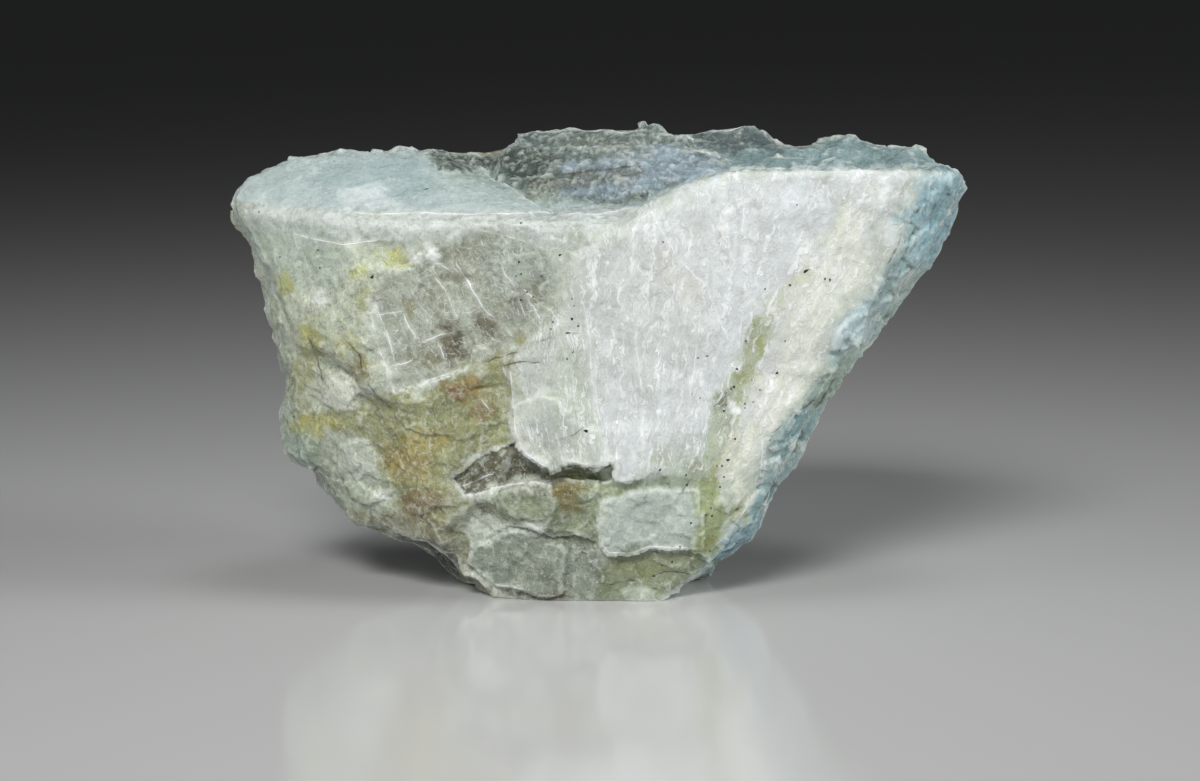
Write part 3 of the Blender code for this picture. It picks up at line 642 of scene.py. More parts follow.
# Small soft spots: across, down, half width, half height, colour, strength.
GREEN = (158, 162, 92)
BROWN = (104, 94, 72)
WHITE = (224, 230, 226)
SPOTS = [
    (397, 258, 17, 9, (176, 180, 108), 0.85), (356, 272, 10, 7, GREEN, 0.8),
    (285, 284, 10, 14, GREEN, 0.7), (307, 328, 9, 12, GREEN, 0.6), (363, 301, 8, 10, GREEN, 0.6),
    (313, 345, 12, 20, (150, 148, 84), 0.75), (300, 375, 14, 16, (146, 146, 92), 0.6),
    (345, 345, 12, 12, (168, 166, 112), 0.6), (360, 370, 10, 14, (138, 126, 72), 0.8),
    (313, 427, 24, 12, (158, 156, 84), 0.8), (342, 391, 18, 18, (206, 210, 198), 0.8),
    (318, 298, 10, 9, (218, 222, 218), 0.7), (359, 458, 24, 24, (188, 196, 186), 0.7),
    (385, 497, 10, 9, WHITE, 0.5), (410, 461, 26, 20, (150, 132, 72), 0.75),
    (424, 500, 22, 14, (112, 92, 62), 0.75), (425, 440, 30, 14, (164, 152, 84), 0.6),
    (484, 507, 8, 6, (84, 76, 66), 0.6), (498, 361, 20, 9, (132, 128, 74), 0.75),
    (465, 388, 26, 8, (150, 122, 70), 0.7), (452, 395, 10, 6, (128, 92, 54), 0.7),
    (480, 410, 14, 10, (140, 112, 78), 0.5), (522, 338, 10, 6, (158, 152, 88), 0.8),
    (432, 254, 6, 10, (236, 240, 238), 0.8), (416, 258, 5, 4, (232, 236, 230), 0.8),
    (446, 326, 10, 6, BROWN, 0.9), (450, 350, 14, 15, (96, 88, 70), 0.9),
    (426, 362, 16, 9, (122, 118, 92), 0.7), (487, 327, 11, 10, (94, 88, 72), 0.85),
    (407, 310, 7, 10, (132, 130, 98), 0.8), (518, 306, 12, 11, (116, 122, 110), 0.75),
    (449, 277, 9, 5, (112, 112, 92), 0.8), (458, 341, 3, 7, (70, 64, 50), 0.9),
    (470, 283, 10, 6, (128, 132, 116), 0.6), (445, 300, 20, 12, (150, 154, 136), 0.6),
    (515, 265, 30, 22, (158, 168, 162), 0.5), (545, 275, 8, 20, (150, 160, 152), 0.5),
    (578, 232, 12, 9, (158, 164, 150), 0.7), (565, 262, 10, 8, (196, 202, 198), 0.5),
    (549, 425, 22, 12, (146, 156, 150), 0.6), (558, 445, 16, 7, (142, 150, 142), 0.6),
    (660, 458, 12, 7, (160, 166, 140), 0.7), (696, 468, 10, 7, (136, 140, 108), 0.75),
    (712, 474, 6, 16, (146, 150, 92), 0.8), (724, 402, 9, 9, (112, 116, 92), 0.85),
    (742, 373, 7, 12, (138, 144, 98), 0.7), (759, 329, 8, 8, (142, 150, 116), 0.7),
    (756, 346, 8, 12, (150, 158, 106), 0.7), (708, 543, 12, 12, (142, 146, 92), 0.6),
    (737, 513, 9, 8, (140, 146, 94), 0.6), (732, 406, 7, 7, (238, 242, 240), 0.9),
    (750, 440, 16, 14, (214, 218, 204), 0.7), (770, 400, 12, 18, (228, 230, 220), 0.6),
    (730, 450, 14, 22, (196, 200, 172), 0.5), (800, 372, 14, 20, (218, 224, 212), 0.5),
    # The bluish spots at 845,332, 804,424, 926,214, 940,205 and 910,240 are painted cool light on the flank
    # and right end.
    (845, 332, 16, 16, (186, 202, 206), 0.6), (804, 424, 8, 12, (116, 148, 152), 0.7),
    (799, 447, 8, 7, (206, 214, 210), 0.8), (776, 462, 7, 12, (196, 208, 206), 0.7),
    (926, 214, 14, 8, (118, 150, 156), 0.6), (940, 205, 12, 20, (140, 172, 178), 0.5),
    # The near-white spots at 722,194, 726,222, 756,237, 747,255, 885,194, 905,197, 892,237, 698,376, 618,388
    # and 790,195 are painted glints where the sheet catches the light.
    (910, 240, 14, 18, (168, 190, 190), 0.5), (722, 194, 5, 9, WHITE, 0.8),
    (726, 222, 5, 14, (240, 243, 242), 0.8), (756, 237, 6, 8, (240, 243, 244), 0.8),
    (747, 255, 6, 7, (242, 245, 245), 0.8), (885, 194, 4, 14, (238, 242, 238), 0.7),
    (905, 197, 6, 6, (226, 236, 238), 0.7), (892, 237, 5, 14, (224, 232, 232), 0.6),
    (698, 376, 6, 9, (242, 245, 246), 0.8), (618, 388, 6, 8, (236, 240, 240), 0.8),
    (790, 195, 40, 14, (236, 241, 244), 0.6), (706, 205, 24, 14, (206, 212, 210), 0.6),
    (700, 240, 24, 16, (206, 211, 208), 0.5), (790, 262, 16, 16, (206, 212, 214), 0.5),
    (668, 268, 12, 22, (196, 196, 184), 0.6), (690, 290, 16, 14, (208, 208, 194), 0.5),
    (760, 290, 12, 16, (200, 208, 210), 0.5), (540, 380, 16, 12, (184, 192, 180), 0.6),
    (545, 392, 10, 7, (214, 220, 216), 0.6), (560, 490, 12, 12, (126, 110, 58), 0.6),
    (526, 492, 22, 9, (112, 118, 98), 0.7), (540, 528, 16, 6, (196, 204, 194), 0.7),
    # The dark spots at 557,594, 588,603 and 545,602 are painted contact shadow at the foot.
    (557, 594, 8, 8, (92, 78, 64), 0.8), (588, 603, 14, 3, (96, 90, 70), 0.8),
    (545, 602, 14, 3, (40, 40, 36), 0.8), (636, 592, 14, 7, (190, 200, 190), 0.6),
    (545, 575, 6, 10, (96, 100, 84), 0.5), (462, 522, 10, 14, (176, 184, 168), 0.6),
    (640, 568, 24, 8, (120, 124, 84), 0.6), (300, 450, 14, 20, (140, 160, 148), 0.5),
    (620, 150, 30, 10, (122, 130, 122), 0.6), (580, 140, 30, 10, (112, 122, 112), 0.5),
    (650, 130, 16, 8, (96, 108, 104), 0.5), (600, 218, 26, 6, (200, 206, 206), 0.5),
    (540, 196, 26, 7, (156, 164, 152), 0.6), (470, 178, 30, 8, (166, 180, 172), 0.6),
]
small_wobble = np.column_stack([rough(points, 0.8, 401), rough(points, 0.8, 411)]) * 3.0
ragged = 0.5 * rough(points, 1.0, 421) + 0.25 * flats(points, 0.6, 425, 0.2)
for across, down, half_width, half_height, colour, strength in SPOTS:
    away = (wobbled + small_wobble - np.array([across, down])) / np.array([half_width, half_height])
    gap = np.linalg.norm(away, axis=1) + ragged
    tint = stain(tint, shows * (1 - smooth_step(gap, 0.6, 1.35)), colour, strength)

# Painted shade darkens the hollows, and proud edges are whitened, partly as bruised stone and partly as
# painted highlight.
mottle = rough(points, 1.1, 431)
tint = tint * (1 + 0.10 * mottle)[:, None]
hollow_shade_share = smooth_step(-proud, 0.01, 0.10) * 0.3 + smooth_step(-proud_wide, 0.03, 0.4) * 0.2
tint = tint * (1 - hollow_shade_share[:, None] * np.array([0.55, 0.5, 0.7]))
tint = stain(tint, smooth_step(proud, 0.015, 0.08), (226, 232, 226), 0.28)
# Plate edges get a painted highlight, as where a ledge catches the light.
tint = stain(tint, plate_edge_highlight * smooth_step(proud, 0.0, 0.03), (232, 238, 236), 0.5)
tint = np.clip(tint, 0.0, 0.92)


# Cracks and veins of the stone
# The real ones are fine white or dark lines, a tenth of a millimetre wide, along which it cleaves. Some
# white lines along edges are painted highlights, and some dark lines are painted shade in creases and at the
# foot. Each skin point keeps how far it is from the nearest line of each family.

# The white lines along the top edge, the ledge of the main sheet, the lower step, the window's upper edge,
# the grey slab and the lower flank edge are painted highlights where edges catch the light; the rest are
# white veins.
WHITE_LINES = [
    [(458, 266), (470, 287), (485, 310), (510, 333)], [(496, 254), (507, 277), (513, 281)],
    [(490, 274), (501, 285), (513, 287), (525, 291), (533, 297), (540, 304), (551, 310), (557, 319)],
    [(518, 296), (524, 312)], [(527, 295), (539, 318)], [(404, 318), (414, 335)],
    [(383, 332), (391, 347)], [(440, 347), (443, 356)], [(504, 368), (507, 379)],
    [(484, 402), (488, 408)], [(377, 306), (389, 341), (392, 352)],
    [(450, 313), (473, 312), (481, 307)], [(426, 341), (440, 336), (456, 332)],
    [(380, 315), (397, 312)], [(401, 345), (424, 342)], [(391, 368), (410, 361)],
    [(394, 391), (421, 382), (443, 375), (459, 370)], [(482, 231), (506, 236), (542, 248)],
    [(465, 485), (490, 475)], [(465, 496), (497, 487), (521, 483), (550, 480)],
    [(468, 563), (492, 584), (523, 589)], [(526, 524), (553, 536)],
    [(510, 370), (516, 434), (522, 449), (536, 461), (549, 469), (568, 461), (584, 465), (613, 461)],
    [(600, 543), (609, 553), (632, 553), (650, 547), (682, 548)],
    [(656, 199), (687, 184), (713, 174), (736, 169), (774, 171), (817, 172), (850, 171), (904, 169)],
    [(595, 364), (597, 401)], [(678, 341), (673, 373)], [(644, 401), (641, 438)],
    [(651, 212), (639, 220), (626, 253), (612, 275), (600, 294)],
    [(651, 212), (659, 227), (677, 258), (707, 288), (723, 329), (732, 348)],
    [(628, 255), (646, 278), (664, 292)], [(583, 300), (590, 340), (592, 380), (600, 420)],
    [(763, 442), (760, 479), (747, 507), (735, 525), (714, 548)],
    [(410, 290), (420, 306), (432, 318)], [(430, 270), (446, 292), (452, 306)],
    [(372, 318), (378, 345), (388, 372)], [(436, 262), (449, 270)], [(720, 214), (724, 236), (735, 262)],
    [(618, 420), (617, 460)], [(640, 300), (636, 345), (642, 390)], [(700, 320), (694, 372), (688, 410)],
    [(745, 200), (742, 232)], [(812, 180), (806, 222), (795, 250)], [(853, 190), (846, 240), (832, 285)],
    [(880, 190), (872, 220)], [(560, 340), (572, 372), (575, 400)], [(690, 300), (684, 330)],
    [(300, 236), (340, 244), (388, 240)], [(330, 300), (338, 330)], [(344, 290), (338, 310)],
    [(345, 211), (380, 214), (420, 212), (470, 214), (540, 212), (600, 214), (640, 206)],
]
# The dark lines at 455,478 and 549,473 under the ledge and at 395,536 along the underside are painted shade
# in creases; the one at 531,598 is painted contact shadow at the foot; the rest are dark cracks.
DARK_LINES = [
    [(360, 370), (368, 384), (376, 395), (390, 408)], [(346, 340), (360, 356), (362, 372)],
    [(531, 598), (545, 600), (555, 599)], [(395, 536), (429, 553), (453, 570)],
    [(455, 478), (482, 457), (514, 445)], [(549, 473), (567, 466), (584, 469), (610, 466)],
    [(700, 475), (690, 482), (684, 490)], [(655, 552), (690, 556), (705, 562)],
    [(640, 580), (665, 572), (690, 574)], [(610, 585), (632, 580), (655, 588)],
    [(500, 366), (520, 362), (545, 362)], [(560, 440), (572, 436), (580, 430)],
    [(776, 430), (796, 412), (815, 400)], [(780, 470), (765, 500), (752, 520)],
    [(840, 352), (834, 380), (815, 408)], [(905, 215), (898, 245), (880, 280)],
    [(310, 340), (318, 360), (322, 378)], [(450, 160), (480, 163), (530, 160)],
    [(560, 175), (600, 170), (640, 166)], [(545, 340), (520, 352), (490, 360)],
]
APART = 22.0
REACH = 7.0


def line_gap(places, line):
    """Pixels from each place to a line, plus on one side of it and minus on the other."""
    nearest = np.full(len(places), 1e9)
    for start, end in zip(np.array(line[:-1], float), np.array(line[1:], float)):
        side = end - start
        from_start = places - start
        part = np.clip(from_start @ side / (side @ side), 0, 1)
        gap = np.linalg.norm(from_start - part[:, None] * side, axis=1)
        turned = side[0] * from_start[:, 1] - side[1] * from_start[:, 0]
        closer = gap < abs(nearest)
        nearest[closer] = np.where(turned < 0, -gap, gap)[closer]
    return nearest


def families_of(lines):
    """Lines in groups, so that those of one group lie well apart."""
    groups = []
    for line in lines:
        dense = [np.linspace(a, b, 8) for a, b in zip(line[:-1], line[1:])]
        dense = np.vstack([np.array(part, float) for part in dense])
        for group in groups:
            if all(abs(line_gap(dense, other)).min() > APART for other in group):
                group.append(line)
                break
        else:
            groups.append([line])
    return groups


def crack_values(lines, seed):
    """For each point, its signed gap in mm to the nearest line, and how strong that line is."""
    gaps = np.full(len(points), 1e9)
    for line in lines:
        gap = line_gap(places + wobble * 1.2, line)
        closer = abs(gap) < abs(gaps)
        gaps[closer] = gap[closer]
    strength = shows * (1 - smooth_step(abs(gaps), REACH * 0.5, REACH))
    broken = smooth_step(rolling(points, 1.1, seed) + 0.5 * rolling(points, 0.5, seed + 1), -0.5, 0.5)
    strength = strength * (0.15 + 0.85 * broken)
    return np.column_stack([np.clip(gaps, -30, 30) * MM_PER_PIXEL, strength, np.zeros(len(points))])


crack_families = []
for lines, kind in ((WHITE_LINES, "white"), (DARK_LINES, "dark")):
    for number, group in enumerate(families_of(lines)):
        name = kind + "_lines_" + str(number)
        crack_families.append((name, kind, crack_values(group, 441 + number)))

# Cleavage of the window runs along two slanting directions, which these places follow.
ALONG_STEEP = np.array([0.45, 0.89])
ALONG_FLAT = np.array([0.96, -0.27])
WINDOW_CORNER = np.array([395.0, 300.0])
two_ways = np.linalg.inv(np.column_stack([ALONG_STEEP, ALONG_FLAT]))
grid_places = (places + wobble * 2.0 - WINDOW_CORNER) @ two_ways.T * MM_PER_PIXEL

GREEN_BAND = [
    (800, 262), (815, 270), (790, 320), (772, 360), (760, 420), (748, 500), (715, 560),
    (640, 600), (600, 598), (640, 545), (690, 520), (700, 460), (715, 400), (745, 330),
]
OLIVE_PART = [
    (280, 262), (400, 250), (378, 306), (390, 391), (520, 362), (512, 440), (612, 470),
    (600, 600), (470, 600), (340, 520), (270, 400),
]
in_window = on_front * smooth_step(inside_by(wobbled, WINDOW), -14, 10)
in_band = on_front * smooth_step(inside_by(wobbled, GREEN_BAND), -8, 10)
in_olive = on_front * smooth_step(inside_by(wobbled, OLIVE_PART), -10, 12)


def keep(name, kind, values):
    """Stores values for each point of the skin under this name."""
    layer = stone_mesh.attributes.new(name, kind, "POINT")
    field = {"FLOAT": "value", "FLOAT_VECTOR": "vector", "FLOAT_COLOR": "color"}[kind]
    layer.data.foreach_set(field, np.ascontiguousarray(values, dtype=np.float32).ravel())


def with_fourth(values):
    return np.column_stack([values, np.ones(len(values))])


stone_mesh.vertices.foreach_set("co", (points * MM).astype(np.float32).ravel())
stone_mesh.update()
stone_mesh.polygons.foreach_set("use_smooth", np.ones(len(stone_mesh.polygons), bool))
keep("tint", "FLOAT_COLOR", with_fourth(tint))
keep("fan", "FLOAT_VECTOR", np.column_stack([fan_angle, fan_reach, depth]))
keep("grid", "FLOAT_VECTOR", np.column_stack([grid_places, np.zeros(len(points))]))
keep("zones", "FLOAT_COLOR", np.column_stack([on_sheet, in_window, in_band, in_olive]))
keep("lobe", "FLOAT", on_lobe)
for name, kind, values in crack_families:
    keep(name, "FLOAT_VECTOR", values)

stone = object_of("rough_chiolite", stone_mesh)
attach(stone, "root")
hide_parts("chiolite")
print("stone triangles", len(corners), "crack families", len(crack_families))


# Look of the stone
# The real one is milky with a waxy to glassy lustre, grainy, with fibres on its main
# sheet and small boxes of cleavage in its window. Noise in millimetres makes all of it.


def add(tree, kind, inputs=None, **settings):
    made = tree.nodes.new(kind)
    for name, value in settings.items():
        setattr(made, name, value)
    for name, value in (inputs or {}).items():
        if isinstance(value, bpy.types.NodeSocket):
            tree.links.new(value, made.inputs[name])
        else:
            made.inputs[name].default_value = value
    return made


def maths(tree, operation, first, second=0.0, third=0.0):
    inputs = {0: first, 1: second, 2: third}
    return add(tree, "ShaderNodeMath", inputs, operation=operation).outputs[0]


def ramp(tree, value, low, high, to_low=0.0, to_high=1.0):
    """The value spread smoothly between two limits."""
    inputs = {"Value": value, "From Min": low, "From Max": high, "To Min": to_low, "To Max": to_high}
    made = add(tree, "ShaderNodeMapRange", inputs, interpolation_type="SMOOTHSTEP")
    return made.outputs["Result"]


def noise(tree, vector, scale, detail=3.0, roughness=0.55, distortion=0.0):
    inputs = {
        "Vector": vector, "Scale": scale, "Detail": detail, "Roughness": roughness,
        "Distortion": distortion,
    }
    return add(tree, "ShaderNodeTexNoise", inputs).outputs["Fac"]


def stretched(tree, vector, stretch):
    made = add(tree, "ShaderNodeVectorMath", {0: vector, 1: stretch}, operation="MULTIPLY")
    return made.outputs["Vector"]


def mixed(tree, share, first, second, blend="MIX"):
    """Two colours mixed."""
    made = tree.nodes.new("ShaderNodeMix")
    made.data_type = "RGBA"
    made.blend_type = blend
    for socket, value in ((made.inputs[0], share), (made.inputs[6], first), (made.inputs[7], second)):
        if isinstance(value, bpy.types.NodeSocket):
            tree.links.new(value, socket)
        else:
            socket.default_value = value
    return made.outputs[2]


def shader_group(name, takes, gives):
    tree = bpy.data.node_groups.new(name, "ShaderNodeTree")
    for label, kind in takes:
        tree.interface.new_socket(name=label, in_out="INPUT", socket_type=kind)
    for label, kind in gives:
        tree.interface.new_socket(name=label, in_out="OUTPUT", socket_type=kind)
    return tree, tree.nodes.new("NodeGroupInput"), tree.nodes.new("NodeGroupOutput")


# Milk: soft clouds, crystal grains of two sizes, fine grain, bright flecks, partly white flakes and partly
# painted glints, and thin threads.
milk, taken, given = shader_group(
    "milk",
    [("Place", "NodeSocketVector")],
    [
        ("Clouds", "NodeSocketFloat"), ("Big grains", "NodeSocketFloat"),
        ("Small grains", "NodeSocketFloat"), ("Dust", "NodeSocketFloat"),
        ("Flecks", "NodeSocketFloat"), ("Threads", "NodeSocketFloat"),
    ],
)
place = taken.outputs["Place"]
milk.links.new(noise(milk, place, 0.45, 6.0, 0.68, 0.6), given.inputs["Clouds"])
bend = add(milk, "ShaderNodeTexNoise", {"Vector": place, "Scale": 1.1, "Detail": 3.0}).outputs["Color"]
bent = add(milk, "ShaderNodeVectorMath", {0: bend, 1: (1.1, 1.1, 1.1), 2: place}, operation="MULTIPLY_ADD")
bent = bent.outputs["Vector"]
for label, scale in (("Big grains", 0.95), ("Small grains", 2.6)):
    cells = add(milk, "ShaderNodeTexVoronoi", {"Vector": bent, "Scale": scale})
    level = add(milk, "ShaderNodeRGBToBW", {0: cells.outputs["Color"]}).outputs[0]
    milk.links.new(level, given.inputs[label])
dust = noise(milk, place, 5.5, 3.0, 0.7)
milk.links.new(dust, given.inputs["Dust"])
fleck_places = noise(milk, place, 3.4, 3.0, 0.75, 0.4)
milk.links.new(ramp(milk, fleck_places, 0.60, 0.72), given.inputs["Flecks"])
seams = add(milk, "ShaderNodeTexVoronoi", {"Vector": bent, "Scale": 0.95}, feature="DISTANCE_TO_EDGE")
wide_threads = ramp(milk, seams.outputs["Distance"], 0.0, 0.035, 1.0, 0.0)
fine_seams = add(milk, "ShaderNodeTexVoronoi", {"Vector": bent, "Scale": 2.6}, feature="DISTANCE_TO_EDGE")
fine_threads = ramp(milk, fine_seams.outputs["Distance"], 0.0, 0.06, 1.0, 0.0)
patchy = ramp(milk, noise(milk, place, 0.5, 3.0), 0.48, 0.62)
fine_patchy = ramp(milk, noise(milk, place, 0.8, 3.0, 0.6, 0.3), 0.52, 0.62)
threads = maths(
    milk, "MAXIMUM",
    maths(milk, "MULTIPLY", wide_threads, patchy), maths(milk, "MULTIPLY", fine_threads, fine_patchy),
)
milk.links.new(threads, given.inputs["Threads"])

# Fibres: bright splinters that run down the main sheet.
fibres, taken, given = shader_group(
    "fibres", [("Fan", "NodeSocketVector")], [("Fibres", "NodeSocketFloat"), ("Bands", "NodeSocketFloat")]
)
fan = taken.outputs["Fan"]
long_fibres = noise(fibres, stretched(fibres, fan, (2.6, 0.28, 0.3)), 1.0, 4.0, 0.65, 0.5)
short_fibres = noise(fibres, stretched(fibres, fan, (6.0, 1.1, 0.5)), 1.0, 3.0, 0.6, 0.8)
short_share = maths(fibres, "MULTIPLY", short_fibres, 0.4)
together = maths(fibres, "MULTIPLY_ADD", long_fibres, 0.6, short_share)
fibres.links.new(ramp(fibres, together, 0.47, 0.61), given.inputs["Fibres"])
bands = noise(fibres, stretched(fibres, fan, (0.55, 0.10, 0.1)), 1.0, 3.0, 0.6, 1.0)
fibres.links.new(ramp(fibres, bands, 0.40, 0.60), given.inputs["Bands"])

# Boxes: the cleavage cells of the window, with darker clear cells and fine white strokes.
boxes, taken, given = shader_group(
    "boxes",
    [("Grid", "NodeSocketVector")],
    [("Seams", "NodeSocketFloat"), ("Cells", "NodeSocketFloat"), ("Strokes", "NodeSocketFloat")],
)
grid = taken.outputs["Grid"]
bend = add(boxes, "ShaderNodeTexNoise", {"Vector": grid, "Scale": 0.6, "Detail": 3.0}).outputs["Color"]
bent = add(boxes, "ShaderNodeVectorMath", {0: bend, 1: (1.2, 1.2, 0.0), 2: grid}, operation="MULTIPLY_ADD")
bent = bent.outputs["Vector"]
brick_sizes = {"Color1": (0, 0, 0, 1), "Color2": (1, 1, 1, 1), "Mortar": (0.5, 0.5, 0.5, 1)}
bricks = add(boxes, "ShaderNodeTexBrick", {
    "Vector": bent, **brick_sizes, "Scale": 1.0, "Mortar Size": 0.04, "Mortar Smooth": 0.8,
    "Brick Width": 2.1, "Row Height": 1.5,
})
small_bricks = add(boxes, "ShaderNodeTexBrick", {
    "Vector": bent, **brick_sizes, "Scale": 2.1, "Mortar Size": 0.05, "Mortar Smooth": 0.9,
    "Brick Width": 1.5, "Row Height": 1.0,
})
seam_patches = ramp(boxes, noise(boxes, grid, 1.0, 3.0), 0.46, 0.62)
small_patches = ramp(boxes, noise(boxes, grid, 1.4, 3.0), 0.5, 0.64)
seams = maths(
    boxes, "MAXIMUM",
    maths(boxes, "MULTIPLY", bricks.outputs["Fac"], seam_patches),
    maths(boxes, "MULTIPLY", small_bricks.outputs["Fac"], small_patches),
)
boxes.links.new(seams, given.inputs["Seams"])
cell_value = add(boxes, "ShaderNodeRGBToBW", {0: bricks.outputs["Color"]}).outputs[0]
small_value = add(boxes, "ShaderNodeRGBToBW", {0: small_bricks.outputs["Color"]}).outputs[0]
small_share = maths(boxes, "MULTIPLY", small_value, 0.45)
boxes.links.new(maths(boxes, "MULTIPLY_ADD", cell_value, 0.55, small_share), given.inputs["Cells"])
steep = ramp(boxes, noise(boxes, stretched(boxes, bent, (0.8, 6.5, 1.0)), 1.0, 2.0, 0.6), 0.60, 0.70)
level = ramp(boxes, noise(boxes, stretched(boxes, bent, (6.5, 0.8, 1.0)), 1.0, 2.0, 0.6), 0.64, 0.72)
boxes.links.new(maths(boxes, "MAXIMUM", steep, level), given.inputs["Strokes"])

# Lines: one family of cracks, as a thin soft line.
lines_group, taken, given = shader_group(
    "lines", [("Values", "NodeSocketVector"), ("Width", "NodeSocketFloat")], [("Line", "NodeSocketFloat")]
)
parts = add(lines_group, "ShaderNodeSeparateXYZ", {0: taken.outputs["Values"]})
gap = maths(lines_group, "ABSOLUTE", parts.outputs["X"])
near = maths(lines_group, "DIVIDE", gap, taken.outputs["Width"])
thin = ramp(lines_group, near, 0.2, 1.0, 1.0, 0.0)
halo = ramp(lines_group, near, 0.5, 4.0, 0.22, 0.0)
both = maths(lines_group, "MAXIMUM", thin, halo)
lines_group.links.new(maths(lines_group, "MULTIPLY", both, parts.outputs["Y"]), given.inputs["Line"])

# Pepper: dark grains a tenth of a millimetre wide, in loose clusters.
pepper, taken, given = shader_group(
    "pepper", [("Place", "NodeSocketVector")], [("Dots", "NodeSocketFloat")]
)
place = taken.outputs["Place"]
dots = add(pepper, "ShaderNodeTexVoronoi", {"Vector": place, "Scale": 2.4, "Randomness": 1.0})
small_dots = ramp(pepper, dots.outputs["Distance"], 0.10, 0.2, 1.0, 0.0)
clusters = ramp(pepper, noise(pepper, place, 0.7, 2.0), 0.52, 0.62)
pepper.links.new(maths(pepper, "MULTIPLY", small_dots, clusters), given.inputs["Dots"])

material = bpy.data.materials.new("stone")
material.use_nodes = True
tree = material.node_tree
tree.nodes.clear()
output = tree.nodes.new("ShaderNodeOutputMaterial")
surface = tree.nodes.new("ShaderNodeBsdfPrincipled")
tree.links.new(surface.outputs[0], output.inputs["Surface"])


def kept(name, output_name):
    return add(tree, "ShaderNodeAttribute", attribute_name=name).outputs[output_name]


def grouped(group, inputs):
    return add(tree, "ShaderNodeGroup", inputs, node_tree=group)


place = add(
    tree, "ShaderNodeVectorMath",
    {0: add(tree, "ShaderNodeTexCoord").outputs["Object"], "Scale": 1 / MM}, operation="SCALE",
).outputs["Vector"]
zones_node = add(tree, "ShaderNodeAttribute", attribute_name="zones")
zones = add(tree, "ShaderNodeSeparateColor", {0: zones_node.outputs["Color"]})
sheet_share = zones.outputs[0]
window_share = zones.outputs[1]
band_share = zones.outputs[2]
olive_share = zones_node.outputs["Alpha"]
lobe_share = kept("lobe", "Fac")

in_milk = grouped(milk, {"Place": place})
in_fibres = grouped(fibres, {"Fan": kept("fan", "Vector")})
in_boxes = grouped(boxes, {"Grid": kept("grid", "Vector")})
in_pepper = grouped(pepper, {"Place": place})

MILK_WHITE = (0.80, 0.83, 0.83, 1)
CLEAR_DARK = (0.16, 0.16, 0.11, 1)
colour = kept("tint", "Color")

# Clouds and grains make it lighter and darker, most in the olive parts and least in the sheet.
calm = maths(tree, "MULTIPLY_ADD", sheet_share, -0.62, 1.0)
calm = maths(tree, "MULTIPLY_ADD", lobe_share, -0.45, calm)
swing = maths(tree, "MULTIPLY_ADD", olive_share, 0.6, calm)
shade = 0.0
for label, amount in (("Clouds", 0.6), ("Big grains", 0.2), ("Small grains", 0.24), ("Dust", 0.7)):
    centred = maths(tree, "SUBTRACT", in_milk.outputs[label], 0.5)
    shade = maths(tree, "MULTIPLY_ADD", centred, amount, shade)
shade = maths(tree, "MULTIPLY_ADD", shade, swing, 1.0)
colour = mixed(tree, 1.0, colour, shade, "MULTIPLY")

# The window's clear cells are darker, and its seams and strokes white.
cell_dark = maths(tree, "MULTIPLY", window_share, ramp(tree, in_boxes.outputs["Cells"], 0.4, 0.95, 0.0, 0.5))
colour = mixed(tree, cell_dark, colour, CLEAR_DARK)
seam_white = maths(tree, "MULTIPLY", maths(tree, "MULTIPLY", window_share, in_boxes.outputs["Seams"]), 0.4)
colour = mixed(tree, seam_white, colour, MILK_WHITE)
left_share = maths(tree, "MULTIPLY_ADD", olive_share, 0.35, window_share)
stroke_white = maths(tree, "MULTIPLY", maths(tree, "MULTIPLY", left_share, in_boxes.outputs["Strokes"]), 0.5)
colour = mixed(tree, stroke_white, colour, MILK_WHITE)

# The olive parts are mottled with darker flecks and pale grains.
fleck_noise = noise(tree, place, 1.6, 4.0, 0.65, 0.8)
flecks = maths(tree, "MULTIPLY", olive_share, ramp(tree, fleck_noise, 0.52, 0.72, 0.0, 0.30))
colour = mixed(tree, flecks, colour, (0.20, 0.17, 0.07, 1))
pale_noise = noise(tree, place, 1.2, 4.0, 0.7, 0.8)
pale_flecks = maths(tree, "MULTIPLY", olive_share, ramp(tree, pale_noise, 0.52, 0.70, 0.0, 0.6))
colour = mixed(tree, pale_flecks, colour, (0.56, 0.60, 0.50, 1))
# Bright flecks, more in the olive parts: partly white flakes, partly painted glints.
fleck_and_glint_share = maths(tree, "MULTIPLY_ADD", olive_share, 0.2, 0.3)
fleck_and_glint_share = maths(tree, "MULTIPLY", in_milk.outputs["Flecks"], fleck_and_glint_share)
colour = mixed(tree, fleck_and_glint_share, colour, MILK_WHITE)

# The sheet's fibres.
fibre_light = maths(tree, "MULTIPLY", sheet_share, maths(tree, "MULTIPLY", in_fibres.outputs["Fibres"], 0.75))
colour = mixed(tree, fibre_light, colour, (0.90, 0.92, 0.93, 1))
band_dark = maths(tree, "MULTIPLY", sheet_share, ramp(tree, in_fibres.outputs["Bands"], 0.0, 1.0, 0.30, 0.0))
colour = mixed(tree, band_dark, colour, (0.50, 0.52, 0.50, 1))

